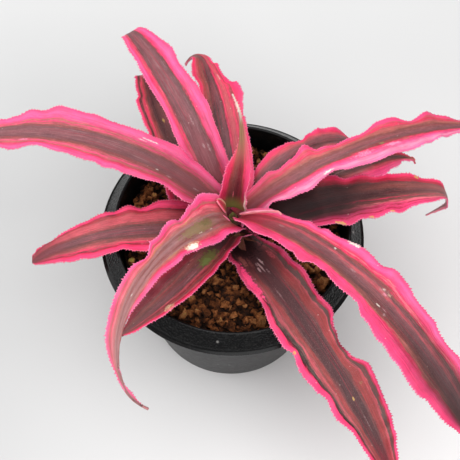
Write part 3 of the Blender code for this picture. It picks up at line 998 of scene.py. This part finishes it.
# %% Long leaf at the left
grow(
    "leaf_left_long", bearing=154, base=5.5, length=127, width=19.5, rise=49, droop=81, bend=0.7, swing=30,
    late=1.3, taper=4, point=1, roll=(14, -18), cloud="umber", thread="scurf",
    left="0.14 0.3, 0.21 -2.5, 0.3 -0.6, 0.4 0.7, 0.5 -0.2, 0.64 -2, 0.72 0.3, 0.9 -0.8",
    right="0.1 1, 0.18 0, 0.26 0.8, 0.34 -0.3, 0.44 0.2, 0.54 1.4, 0.6 2.2, 0.64 0.8, 0.68 1.4, "
    "0.72 -1, 0.8 -0.8, 0.92 0.9",
    bands="1 hot, 0.9 candy, 0.76 hot, 0.7 rose, 0.64 salmon, 0.58 tan, 0.54 hot, 0.46 salmon, "
    "0.36 clay, 0.22 plum, 0 mauve, -0.26 plum, -0.36 clay, -0.43 salmon, -0.5 hot, -0.56 tan, "
    "-0.62 hot, -0.8 candy, -1 hot",
    tints="wine 0.06 0.36 0.6, umber 0.3 0.6 0.3",
    marks="0.315 -0.8 7 0.6 chalk 0.7, 0.34 -0.7 4 0.5 chalk 0.6, 0.26 0.25 1.2 0.8 chalk 0.5, "
    "0.69 0.5 5 1.4 bloom 0.6, 0.22 0.3 2.4 1 scurf 0.6, 0.13 0.1 3 1.2 scurf 0.6",
)

# %% Long leaf at the front right
grow(
    "leaf_front_right_long", bearing=-33, base=7.3, length=139, width=19, rise=51, droop=81, bend=0.7,
    swing=-27, late=0.8, taper=8, point=0.9, roll=(-24, 11), neck=0.45, rim=0.1, thread="tan",
    cloud="umber",
    left="0.08 0.8, 0.16 -1.6, 0.28 -1.3, 0.39 0.8, 0.44 0.4, 0.51 2.3, 0.58 -0.2, 0.64 0.2, 0.68 -1.5, "
    "0.75 -0.4, 0.9 0.1",
    right="0 -1, 0.06 3, 0.12 2, 0.2 -1.4, 0.25 -1.8, 0.3 0.1, 0.37 -3, 0.4 -1.1, 0.49 -2.3, "
    "0.53 0.6, 0.6 1.7, 0.7 2.3, 0.76 2.8, 0.79 0.8, 0.84 0.8, 0.9 -1.2",
    bands="1 hot, 0.86 candy, 0.72 hot, 0.66 rose, 0.6 blush, 0.55 rose, 0.48 clay, 0.36 plum, "
    "0.26 salmon, 0.18 mauve, 0 plum, -0.28 umber, -0.4 clay, -0.47 tan, -0.53 rose, -0.62 hot, -1 hot",
    tints="crimson 0.06 0.25 0.6, soot 0.92 0.42 0.92",
    marks="0.365 0.97 6 1.4 chalk 0.9, 0.51 0.36 2.6 0.7 chalk 0.75, 0.52 0.26 2 0.8 bloom 0.7, "
    "0.53 0.34 1.8 0.8 cream 0.6, 0.505 0.27 2.2 0.6 scurf 0.7, 0.52 0.31 5 3 haze 0.5, "
    "0.53 -0.24 2 0.7 chalk 0.75, 0.55 -0.2 2.4 0.5 scurf 0.7, 0.56 -0.32 1.6 1 scurf 0.6, "
    "0.34 0.4 1.4 1 chalk 0.6, 0.17 0.1 4 1.2 scurf 0.6, 0.42 0.1 3 1.2 scurf 0.6",
)

# %% Arched leaf at the front left
grow(
    "leaf_front_left_arched", bearing=229, base=7.5, length=108, width=19.5, rise=56, droop=94, bend=0.9,
    swing=90, late=3, taper=1.5, point=1.6, roll=(-20, -9), hook=30, ruffle=0.6, cloud="scurf",
    thread="haze", rim=0.5,
    left="0 3, 0.05 2.6, 0.12 0.1, 0.28 -0.6, 0.34 -1.5, 0.39 -0.3, 0.47 -0.7, 0.55 -0.1, 0.71 -1.6, "
    "0.8 -1.8, 0.86 -0.3, 0.92 0.6, 0.98 0",
    right="0.03 3, 0.07 4.4, 0.11 4.4, 0.18 0.6, 0.26 -1.8, 0.31 0.4, 0.38 -0.8, 0.41 -0.1, 0.45 -2.2, "
    "0.52 0.8, 0.62 1.7, 0.74 2.3, 0.86 0, 0.94 -0.6",
    bands="1 candy, 0.76 hot, 0.66 rose, 0.58 salmon, 0.46 tan, 0.36 haze, 0.22 clay, 0 haze, "
    "-0.2 clay, -0.32 haze, -0.42 tan, -0.5 salmon, -0.6 blush, -0.7 rose, -0.77 tan, -0.84 hot, "
    "-1 candy",
    tints="brick 0 0.12 0.5, haze 0.85 0.45 0.6",
    marks="0.297 0.7 8 4.8 cream 0.8, 0.297 0.72 6 4 chalk 1, 0.295 0.74 4.6 3.2 chalk 1, "
    "0.21 0 24 6 olive 0.9, 0.16 -0.1 8 4 moss 0.7, 0.59 -0.05 1.6 1 chalk 0.6, "
    "0.25 -0.55 10 1.4 straw 0.5, 0.42 -0.5 12 1.2 straw 0.45, 0.38 0.45 9 1.6 straw 0.3, "
    "0.12 0.3 9 1.4 salmon 0.5, 0.22 0.25 2 0.7 chalk 0.6, 0.16 0.3 2 0.6 chalk 0.5",
)

# %% Upright leaf in the heart
grow(
    "leaf_heart_upright", bearing=77, base=8.8, length=42, width=15, rise=70, droop=32, swing=34, late=2.3,
    taper=1.8, point=2.0, roll=(2, 0), ruffle=0.2, clasp=0.5, tail=5, tail_width=0.8, tail_fold=0,
    tail_turn=12, rim=0.6, cloud="brick",
    left="0 1.7, 0.11 1.8, 0.24 0.3, 0.42 0.3, 0.64 -1, 0.88 -0.7",
    right="0 1.5, 0.11 0, 0.22 -1.6, 0.33 -1, 0.5 -0.2, 0.8 0.3",
    bands="1 hot, 0.82 rose, 0.66 rose, 0.54 brick, 0.28 clay, 0 wine, -0.22 wine, -0.34 brick, "
    "-0.44 rose, -0.6 hot, -1 hot",
    tints="soot 0.08 0.5 0.7, moss 0.02 0.16 0.9, tan 0.6 0.4 0.6, olive 0.8 0.5 0.8, chalk 1 0.82 0.9",
    marks="0.15 0.2 3 0.7 blush 0.5, 0.12 -0.85 9 2 chalk 0.8",
)

# %% Young leaf in the heart, to the right
grow(
    "leaf_heart_right", bearing=-21, base=10, length=20, width=1.3, rise=50, droop=18, bend=1.1, swing=-5,
    taper=1.5, point=0.9, roll=(-1, -13), ruffle=0.0, clasp=0.3, teeth=0.4, neck=0.4, tail=2.4,
    tail_width=0.55, tail_fold=10, tail_turn=-30, rim=0.8,
    bands="1 blush, 0.5 bloom, 0.2 blush, 0 salmon, -0.4 bloom, -0.8 cream, -1 blush",
    tints="blush 1 0.5 0.4",
)

# %% Youngest leaf
grow(
    "leaf_heart_left", bearing=175, base=10.6, length=8, width=4.5, rise=73, droop=15, swing=5, taper=3.5,
    roll=(6, 6), ruffle=0.0, clasp=0.9, teeth=0.4, rim=0.4,
    bands="1 blush, 0.6 rose, 0 brick, -0.6 rose, -1 cream",
    tints="moss 0 0.6 0.7",
)

# %% [markdown]
# ## The pot
#
# The pot is a thin injection-moulded nursery pot with a wide sloping collar. It is a turned
# shape, so it could be a cylinder pushed in and out, but the real one is drawn as a profile.
# The profile is run once round the axis with `spin`, which merges its seam. The collar is
# slightly hollow behind, a fine groove runs round it just above its lower edge, and the floor
# stands on a foot ring and a small pad in the middle. The drain slots are cut afterwards.

# %% Sizes of the pot
WALL = 1.5
SKIRT_HEIGHT = lip_top - 7.5  # the collar's lower edge
LIP_RADIUS = 47.0
BODY_RADIUS = 48.0  # of the body, where the collar hides its top
BASE_RADIUS = 35.0
FLOOR_TOP = 5.0
FLOOR_UNDER = 3.0
INSIDE_FOOT = 7.0  # above this the inside is straight, and below it rounds into the floor
GROOVE_HEIGHT = SKIRT_HEIGHT + 1.35
GROOVE_DEPTH = 0.28
EDGE_ROUND = 0.45


def collar_slope(height):
    """The collar's outer radius at a height."""
    return LIP_RADIUS + (collar_radius - LIP_RADIUS) * (lip_top - height) / (lip_top - SKIRT_HEIGHT)


def body_slope(height):
    return BASE_RADIUS + (BODY_RADIUS - BASE_RADIUS) * height / SKIRT_HEIGHT


def inside_slope(height):
    narrow = body_slope(INSIDE_FOOT) - WALL
    rise = min((height - INSIDE_FOOT) / (SKIRT_HEIGHT - INSIDE_FOOT), 1.0)
    return narrow + (LIP_RADIUS - WALL - narrow) * rise


print("the pot is", round(inside_slope(soil_top), 1), "mm from axis to wall at the soil")

# %% Pot profile
def arc_points(centre, radius, start, end, steps):
    """Points on an arc between two angles in degrees, as (radius, height)."""
    turn = [math.radians(start + (end - start) * step / steps) for step in range(steps + 1)]
    return [(centre[0] + radius * math.cos(a), centre[1] + radius * math.sin(a)) for a in turn]


def pot_profile():
    """(radius, height) from the lip down the outside, under the floor and up the inside."""
    lip = arc_points((LIP_RADIUS - WALL / 2, lip_top - WALL / 2), WALL / 2, 170, 20, 8)
    groove = []
    for above, depth in ((0.35, 0.0), (0.15, GROOVE_DEPTH), (-0.1, GROOVE_DEPTH), (-0.3, 0.0)):
        groove.append((collar_slope(GROOVE_HEIGHT + above) - depth, GROOVE_HEIGHT + above))
    edge = arc_points((collar_radius - EDGE_ROUND, SKIRT_HEIGHT + EDGE_ROUND), EDGE_ROUND, 20, -90, 5)
    behind = [
        (collar_radius - WALL, SKIRT_HEIGHT), (BODY_RADIUS + 0.6, lip_top - 3.8),
        (BODY_RADIUS + 0.1, lip_top - 5.0), (BODY_RADIUS, SKIRT_HEIGHT - 1.0),
    ]
    foot = arc_points((BASE_RADIUS - 1.0, 1.0), 1.0, -10, -90, 4) + [(BASE_RADIUS - 4.0, 0.0)]
    under = [(30.0, FLOOR_UNDER), (9.0, FLOOR_UNDER), (8.0, 0.0), (0.0, 0.0), (0.0, FLOOR_TOP)]
    inner = arc_points((inside_slope(INSIDE_FOOT) - 2.0, INSIDE_FOOT), 2.0, -90, 0, 5)
    return lip + groove + edge + behind + foot + under + inner + [(inside_slope(SKIRT_HEIGHT), SKIRT_HEIGHT)]


print("pot profile has", len(pot_profile()), "points")

# %% [markdown]
# ## Turning the pot
#
# `turn` draws the profile as edges and spins them. Points on the axis collapse into a pole, so
# doubles are merged, and the normals are worked out again because a spin can leave the shape
# inside out. The drain slots are eight rounded blocks cut away by one Boolean, of which only
# the cut mesh is kept.

# %% Turn a profile
MERGE = 1e-6  # points nearer than a thousandth of a millimetre are one


def turn(profile, steps):
    """A closed bmesh turned about the Z axis from (radius, height) points in millimetres."""
    shape = bmesh.new()
    points = [shape.verts.new((radius * MM, 0.0, height * MM)) for radius, height in profile]
    edges = [shape.edges.new(pair) for pair in zip(points, points[1:])]
    if profile[0][0] > 0:
        edges.append(shape.edges.new((points[-1], points[0])))
    bmesh.ops.spin(
        shape, geom=points + edges, cent=(0, 0, 0), axis=(0, 0, 1), angle=math.tau,
        steps=steps, use_merge=True,
    )
    bmesh.ops.remove_doubles(shape, verts=shape.verts, dist=MERGE)
    bmesh.ops.recalc_face_normals(shape, faces=shape.faces)
    for face in shape.faces:
        face.smooth = True
    return shape


print("turning ready")

# %% Cut the drain slots
SLOTS = 8
SLOT_SIZE = (11 * MM, 3.5 * MM, 6 * MM)
SLOT_PLACE = (21 * MM, 0, 4 * MM)
SLOT_ROUND = 1.4 * MM


def slot_cutter():
    """The rounded blocks that the slots are cut with."""
    shape = bmesh.new()
    for index in range(SLOTS):
        place = Matrix.Rotation(math.tau * index / SLOTS, 4, "Z") @ Matrix.Translation(SLOT_PLACE)
        block = place @ Matrix.Diagonal((*SLOT_SIZE, 1.0))
        made = bmesh.ops.create_cube(shape, size=1.0, matrix=block)
        uprights = [
            edge for vert in made["verts"] for edge in vert.link_edges
            if edge.other_vert(vert).co.z - vert.co.z > SLOT_SIZE[2] / 2
        ]
        bmesh.ops.bevel(
            shape, geom=uprights, offset=SLOT_ROUND, affect="EDGES", segments=4, profile=0.5, material=-1
        )
    return into_object("slot_cutter", shape, [])


def cut_away(pot, cutter):
    boolean = pot.modifiers.new("Slots", "BOOLEAN")
    boolean.object = cutter
    boolean.operation = "DIFFERENCE"
    evaluated = pot.evaluated_get(bpy.context.evaluated_depsgraph_get())
    cut = bpy.data.meshes.new_from_object(evaluated)
    pot.modifiers.clear()
    pot.data = cut
    bpy.data.objects.remove(cutter)


print(SLOTS, "slots of", round(SLOT_SIZE[0] / MM), "mm")

# %% [markdown]
# ## Plastic finishes
#
# The collar is grained like fine leather, so small cells press into its gloss, and it has the
# odd pale scuff. The body below and the inside are smooth satin. All three are the same
# near-black plastic, with faint dust over it. The grain stops short of the groove at the foot of
# the collar, where the real mould is smooth.

# %% Plastic finishes
def plastic(name, grain_size, grain_depth, rough, dust):
    """Near-black plastic, with its grain's size and depth in millimetres."""
    material, shader = new_material(name)
    place = object_place(shader)
    colour = ramp(cloudy(place, 60.0, 4.0), [(0.3, paint(6, 6, 7)), (0.7, paint(11, 11, 12))])
    powder = cloudy(place, 420.0, 5.0, 0.7)
    colour = laid(colour, paint(140, 136, 130), powder, 0.52, 0.8, dust)
    scuffs = specks(place, 210.0, 0.93, 0.16, 0.06, 0.5)
    colour = blend(scuffs, colour, paint(170, 168, 164))
    grain = cells(place, 1000.0 / grain_size, feature="SMOOTH_F1").outputs["Distance"]
    pressed = plus(grain, times(cloudy(place, 1500.0), 0.4))
    grained = remap(part_of(place, "Z"), (SKIRT_HEIGHT + 1.8) * MM, (SKIRT_HEIGHT + 2.4) * MM)
    satin = remap(powder, 0.2, 0.8, rough - 0.06, rough + 0.1)
    wire_up(shader, colour, satin, times(pressed, grained), 0.9, grain_depth * MM)
    shader.inputs["Specular IOR Level"].default_value = 0.2
    return material


collar_plastic = plastic("grained_collar_plastic", 0.75, 0.3, 0.24, 0.04)
body_plastic = plastic("smooth_body_plastic", 2.5, 0.02, 0.4, 0.05)
inside_plastic = plastic("smooth_inside_plastic", 2.0, 0.015, 0.33, 0.08)
print("three plastic finishes")

# %% [markdown]
# ## The finished pot
#
# The three finishes are given out by where a face lies: on the collar, on the inside above the
# floor, or anywhere else. That is surer than counting faces, because it still holds if the
# profile gets another point.

# %% Make the pot
def pot_finish_at(middle):
    """Which of the three finishes a face takes: 0 collar, 1 body, 2 inside."""
    reach = math.hypot(middle.x, middle.y) / MM
    height = middle.z / MM
    if height > SKIRT_HEIGHT - 0.2 and reach > collar_slope(height) - 0.6:
        return 0
    inside = reach < inside_slope(max(height, INSIDE_FOOT)) + WALL / 2
    return 2 if height > FLOOR_TOP - 0.5 and inside else 1


POT_STEPS = 160  # round the pot
pot = turn(pot_profile(), POT_STEPS)
for face in pot.faces:
    face.material_index = pot_finish_at(face.calc_center_median())
pot_shell = into_object("pot_shell", pot, [collar_plastic, body_plastic, inside_plastic], sharp=38)
cut_away(pot_shell, slot_cutter())
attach(pot_shell, "root")
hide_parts("pot")
print("pot", len(pot_shell.data.polygons), "faces")

# %% [markdown]
# ## The bed and its granules
#
# The pot is filled with baked clay granules, two to five millimetres across, orange brown and
# dusty, with dark hollows between them. One lumpy surface would look like cake. So the bed is
# in two parts: a rough body that fills the pot, painted dark for the shade in the hollows, and
# over it some nineteen hundred loose granules in three layers, the top one broken by gaps. Both
# are banked up a little at the back and the left, where the granules were tipped in. Each
# granule starts as a ball of 24 faces and is pushed about by noise, so that no two are alike,
# and carries its own tone as an attribute that the finish reads. Painted shade is part of that
# tone: each granule is pale on top and dark down its sides, and each lower layer is darker.

# %% Granule finishes
CLAY_TONES = [
    (0.12, paint(10, 4, 2)), (0.32, paint(50, 25, 12)), (0.5, paint(110, 60, 28)),
    (0.68, paint(156, 94, 50)), (0.88, paint(196, 132, 82)), (1.0, paint(216, 184, 92)),
]


def granule_finish(name, painted_shade):
    """Baked clay, pitted and gritty, darkened by so much painted shade."""
    material, shader = new_material(name)
    place = object_place(shader)
    tone = source(shader, "ShaderNodeAttribute", attribute_name="tone").outputs["Fac"]
    grit = remap(cloudy(place, 620.0, 6.0, 0.75), 0.3, 0.7)
    colour = ramp(plus(times(tone, 0.74), times(grit, 0.36)), CLAY_TONES)
    pores = cells(place, 1300.0).outputs["Distance"]
    colour = laid(colour, paint(44, 22, 12), pores, 0.3, 0.1, 0.5)
    # Painted shade: the bed, seen only in the hollows between the granules, is painted dark.
    if painted_shade:
        colour = blend(painted_shade, colour, paint(36, 22, 15))
    pitted = plus(grit, times(pores, 0.6))
    wire_up(shader, colour, remap(grit, 0.2, 0.8, 0.78, 0.95), pitted, 1.0, 0.8 * MM)
    shader.inputs["Specular IOR Level"].default_value = 0.25
    return material


baked_clay = granule_finish("baked_clay_granules", 0.0)
painted_shade_clay = granule_finish("painted_shade_clay_bed", 0.7)
print("clay finishes ready")

# %% The body of the bed
BED_DROP = 2.6  # how far the dark bed lies below the soil's level
BED_RINGS = 22
BED_STEPS = 110  # round the bed
BED_FOOT = 7.3  # above this the bed follows the wall, a BED_GAP away from it
BED_GAP = 0.3
HEAP = 2.6  # how much higher the bed lies at the back and the left
HEAP_SIDE = (-0.62, 0.78)  # it rises this way, from HEAP_START off the axis and over HEAP_RUN
HEAP_START = 10
HEAP_RUN = 20


def heap(x, y):
    """How far the bed is banked up at a place, in millimetres."""
    off_axis = HEAP_SIDE[1] * y + HEAP_SIDE[0] * x
    return HEAP * min(max((off_axis - HEAP_START) / HEAP_RUN, 0.0), 1.0)


def bed_profile(top):
    edge = inside_slope(top) - BED_GAP
    foot = inside_slope(BED_FOOT) - BED_GAP
    surface = [(edge * step / BED_RINGS, top) for step in range(BED_RINGS + 1)]
    return surface + [(foot, BED_FOOT), (foot - 2.0, soil_bottom), (0.0, soil_bottom)]


def roughen_bed(shape, top):
    """Lumps the bed's surface and gives every point of it a tone."""
    tone = shape.verts.layers.float.new("tone")
    level_edge = inside_slope(top) - BED_GAP - 0.5
    for vert in shape.verts:
        reach = math.hypot(vert.co.x, vert.co.y) / MM
        if vert.co.z / MM > top - 0.1 and reach < level_edge:
            lump = noise.noise(vert.co * 420) * 0.7 + noise.noise(vert.co * 1100) * 0.4
            vert.co.z += (lump + heap(vert.co.x / MM, vert.co.y / MM)) * MM
        vert[tone] = 0.3 + 0.5 * noise.noise(vert.co * 300)


bed = turn(bed_profile(soil_top - BED_DROP), BED_STEPS)
roughen_bed(bed, soil_top - BED_DROP)
clay_bed = into_object("clay_bed", bed, [painted_shade_clay])
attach(clay_bed, "root")
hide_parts("soil")
print("bed", len(clay_bed.data.polygons), "faces")

# %% Where the granules lie
GRANULE_LAYERS = (  # pitch, level above the soil's top, shift, and share left out
    (2.9, -2.6, 0.0, 0.0),
    (3.0, -1.3, 0.5, 0.05),
    (3.3, 0.3, 0.25, 0.32),
)
GRANULE_RADII = (0.85, 2.5, 1.25)  # smallest, largest and most usual
LAYER_GROWTH = 0.07  # the granules of each layer are this much larger than those below
PALE_GRANULE = (-39.4, -12.8, 2.6, 2.2)  # the one straw-coloured granule: x, y, level, radius
PALE_LAYER = 3
GRANULE_SEED = 11
SPREAD = 0.8  # how far a granule strays from its place in the layer
STEM_CLEAR = 3.2  # no granule comes nearer the axis
CROWN = 9  # under the lowest leaves, this near the axis, the granules stay low
ROW_STEP = 0.87  # from row to row, as a share of the pitch
BED_REACH = 50  # the layers are laid out this far, and what is past the wall is left out


def granule_places(draw):
    """(x, y, z, radius, layer) of each granule in millimetres, in staggered layers."""
    places = []
    for layer, (pitch, level, shift, left_out) in enumerate(GRANULE_LAYERS):
        rows = int(BED_REACH / pitch)
        for row in range(-rows, rows + 1):
            for column in range(-rows, rows + 1):
                radius = draw.triangular(*GRANULE_RADII) * (1 + LAYER_GROWTH * layer)
                x = pitch * (column + 0.5 * (row % 2) + shift) + draw.uniform(-SPREAD, SPREAD)
                y = pitch * ROW_STEP * (row + shift) + draw.uniform(-SPREAD, SPREAD)
                z = soil_top + level + heap(x, y) + draw.uniform(-0.7, 0.6)
                skipped = draw.random() < left_out
                reach = math.hypot(x, y)
                if reach < CROWN:
                    z = min(z, soil_top + 0.5 - radius)
                outermost = inside_slope(soil_top) - 0.4 - radius
                if STEM_CLEAR + radius * 0.6 < reach < outermost and not skipped:
                    places.append((x, y, z, radius, layer))
    x, y, level, radius = PALE_GRANULE
    places.append((x, y, soil_top + level, radius, PALE_LAYER))
    return places


draw = random.Random(GRANULE_SEED)
places = granule_places(draw)
print(len(places), "granules")

# %% Shape the granules
# Painted shade: each lower layer is painted darker, as if in the shade of the layers over it.
DEEP_SHADE = 0.26  # tone of the lowest layer, and how much each layer over it gains
LAYER_SHADE = 0.42
PALE_SHADE = 1.7


def round_crumb():
    """The plain ball of 24 faces that every granule is shaped from."""
    shape = bmesh.new()
    bmesh.ops.create_cube(shape, size=2.0)
    bmesh.ops.subdivide_edges(shape, edges=shape.edges, cuts=1, use_grid_fill=True)
    for vert in shape.verts:
        vert.co.normalize()
    mesh = bpy.data.meshes.new("round_crumb")
    shape.to_mesh(mesh)
    shape.free()
    return mesh


def shape_granule(verts, tone, draw, place, index):
    """Turns a fresh ball's points into one craggy granule at its place."""
    x, y, z, radius, layer = place
    spin = Euler([draw.uniform(0, math.tau) for axis in range(3)]).to_matrix()
    stretch = Vector((draw.uniform(0.8, 1.3), draw.uniform(0.75, 1.15), draw.uniform(0.65, 1.0)))
    # Painted shade: the layer darkens the granule's random tone.
    shade = min(draw.triangular(0.3, 1.15, 0.7) * (DEEP_SHADE + LAYER_SHADE * layer), 0.95)
    if layer == PALE_LAYER:
        shade = PALE_SHADE
    offset = Vector((index * 3.7, index * 1.3, 0))
    for vert in verts:
        lump = 1 + 0.8 * noise.noise(vert.co * 1.2 + offset) + 1.1 * noise.noise(vert.co * 3.4 + offset)
        point = spin @ Vector(a * b for a, b in zip(vert.co * lump, stretch))
        vert.co = (Vector((x, y, z)) + point * radius) * MM
        # Painted shade: the tone falls from the granule's top down its sides to its underside.
        vert[tone] = shade * (0.02 + 0.98 * min(max(0.15 + 0.95 * point.z, 0.0), 1.0))


crumb = round_crumb()
size = len(crumb.vertices)
crumbs = bmesh.new()
tone = crumbs.verts.layers.float.new("tone")
for place in places:
    crumbs.from_mesh(crumb)
crumbs.verts.ensure_lookup_table()
for index, place in enumerate(places):
    shape_granule(crumbs.verts[index * size:(index + 1) * size], tone, draw, place, index)
loose_granules = into_object("loose_granules", crumbs, [baked_clay])
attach(loose_granules, "root")
print("granules", len(loose_granules.data.polygons), "faces")

# %% [markdown]
# ## The stem
#
# The stem and its roots have the right shape in the frame, all but the top, which would stand
# up through the bud. A frame mesh is never changed, so a copy of it takes its place, with its
# loose triangles merged and its top drawn in and lowered. It is brown and fibrous below, and
# fresh green where the youngest leaves are joined.

# %% Stem finish
BARK_TONES = [(0.3, paint(62, 34, 22)), (0.55, paint(104, 62, 38)), (0.75, paint(150, 108, 74))]
FRESH_TONES = [(0.3, paint(92, 96, 38)), (0.7, paint(150, 146, 80))]


def stem_finish():
    material, shader = new_material("fibrous_stem")
    place = object_place(shader)
    upward = node("ShaderNodeMapping", {"Vector": place, "Scale": (1, 1, 0.15)}).outputs[0]
    fibre = cloudy(upward, 1600.0, 4.0)
    brown = ramp(fibre, BARK_TONES)
    fresh = ramp(fibre, FRESH_TONES)
    share = remap(part_of(place, "Z"), LIP + 2 * MM, LIP + 10 * MM, smooth=True)
    rough = remap(fibre, 0.3, 0.7, 0.55, 0.8)
    wire_up(shader, blend(share, brown, fresh), rough, fibre, 0.7, 0.3 * MM)
    return material


fibrous_stem = stem_finish()
print("finish:", fibrous_stem.name)

# %% Make the stem
STUB = 5.0 * MM  # the stem tapers off this far above the lip, under the bud
STUB_WIDTH = 0.7  # width and height of what stood above, as shares
STUB_HEIGHT = 0.3

stump = bmesh.new()
stump.from_mesh(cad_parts["stem_and_roots"].data)
bmesh.ops.remove_doubles(stump, verts=stump.verts, dist=MERGE)
for vert in stump.verts:
    above = vert.co.z - LIP - STUB
    if above > 0:
        vert.co = (STUB_WIDTH * vert.co.x, STUB_WIDTH * vert.co.y, LIP + STUB + STUB_HEIGHT * above)
stem = into_object("fibrous_stem_and_roots", stump, [fibrous_stem], sharp=50)
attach(stem, "root")
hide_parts("stem_and_roots")
print("stem", len(stem.data.polygons), "faces")

# %% [markdown]
# ## The rolled bud
#
# The newest leaf isn't out yet: it is rolled up over the tip of the stem, olive, with painted
# shade darkening it towards its foot, where it sits deep in the heart. One sheet wound a turn
# and a third into a cone says that well, and its free edge makes the slit that a rolled leaf has.
# The sheet is a flat grid whose points are moved onto the winding, as a blade's are moved onto
# its midrib.

# %% Rolled bud
BUD_FOOT = 3.0  # heights above the lip
BUD_TIP = 10.0
BUD_TURNS = 1.35
BUD_START = 205  # bearing of the inner edge, in degrees
BUD_RADIUS = 2.2  # at the foot, where the winding starts
BUD_STEP = 0.5  # how much wider the winding is where it ends
BUD_SLANT = 2.2  # how much lower its outer edge ends
BUD_NARROWS = 0.93  # share of its radius that the winding loses by the tip
BUD_THICKNESS = 0.35
BUD_SEED = 31
# Painted shade: the near-black tint darkens the bud towards its foot, in the shaded heart.
BUD = described(
    length=10, width=20, bands="1 salmon, 0.94 olive, 0.8 moss, 0.2 fern, -0.6 soot, -1 moss",
    tints="soot 0.2 0.7 0.85, fern 1 0.6 0.7", rim=1.0, thread="olive", cloud="olive",
)


def bud_point(turned, up):
    """A point of the winding, at a share of the way round and a share of the height."""
    angle = math.radians(BUD_START + 360 * BUD_TURNS * turned)
    radius = (BUD_RADIUS + BUD_STEP * turned) * (1 - BUD_NARROWS * up)
    height = BUD_FOOT + (BUD_TIP - BUD_FOOT) * up - BUD_SLANT * turned * up
    return Vector((radius * math.cos(angle), radius * math.sin(angle), lip_top + height)) * MM


winding = bmesh.new()
bmesh.ops.create_grid(winding, x_segments=72, y_segments=18, size=1.0)
spots = {vert: ((vert.co.x + 1) / 2, (vert.co.y + 1) / 2) for vert in winding.verts}
for vert, spot in spots.items():
    vert.co = bud_point(*spot)
lay_map(winding, spots)
heart_bud = into_object("heart_bud", winding, [leaf_finish("rolled_bud_leaf", BUD, BUD_SEED)])
thicken(heart_bud, "Flesh", BUD_THICKNESS)
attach(heart_bud, "root")
print("bud", len(heart_bud.data.polygons), "faces")

# %% [markdown]
# ## Dry leaf bases
#
# Old leaves die back to a few papery scraps round the foot of the stem. They are short, narrow
# blades of the same kind as the green ones, so the same function makes them, with a brown
# finish, smaller teeth and a twist.

# %% Dry leaf bases
DRY_LEAF = dict(
    ruffle=0.5, wave=6.0, teeth=0.5, taper=2.5, rim=1.0, thread="bark", cloud="bark", shine=0.1, edge=0.0,
    bands="1 clay, 0.8 umber, 0.5 dusk, 0.3 umber, 0 bark, -0.3 dusk, -0.6 bark, -0.85 umber, -1 clay",
    tints="bark 0 1.2 0.9",
)
DRY_BASES = (  # bearing, height of the root above the lip, and shape
    (-60, -3.0, dict(length=10, width=3.6, rise=-18, droop=35, roll=(25, 40), taper=1.4)),
    (-24, -6.5, dict(length=22, width=4.0, rise=12, droop=30, roll=(-20, -60), swing=-22)),
    (-92, -4.0, dict(length=9, width=2.6, rise=-10, droop=30, roll=(-20, -40), taper=1.3)),
    (158, -7.0, dict(length=14, width=5.0, rise=5, droop=25, roll=(20, 50))),
    (78, -6.0, dict(length=13, width=5.5, rise=10, droop=40, roll=(-15, -45))),
)
DRY_THICKNESS = 0.25
DRY_SEED = 60

for number, (bearing, base, shape) in enumerate(DRY_BASES, 1):
    leaf = described(**{**DRY_LEAF, **shape})
    name = "dry_base_" + str(number)
    finish = leaf_finish(name, leaf, DRY_SEED + number)
    piece = into_object(name, blade_shape(leaf, bearing, base, DRY_SEED + number), [finish])
    thicken(piece, "Paper", DRY_THICKNESS)
    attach(piece, "root")
print(len(DRY_BASES), "dry leaf bases")
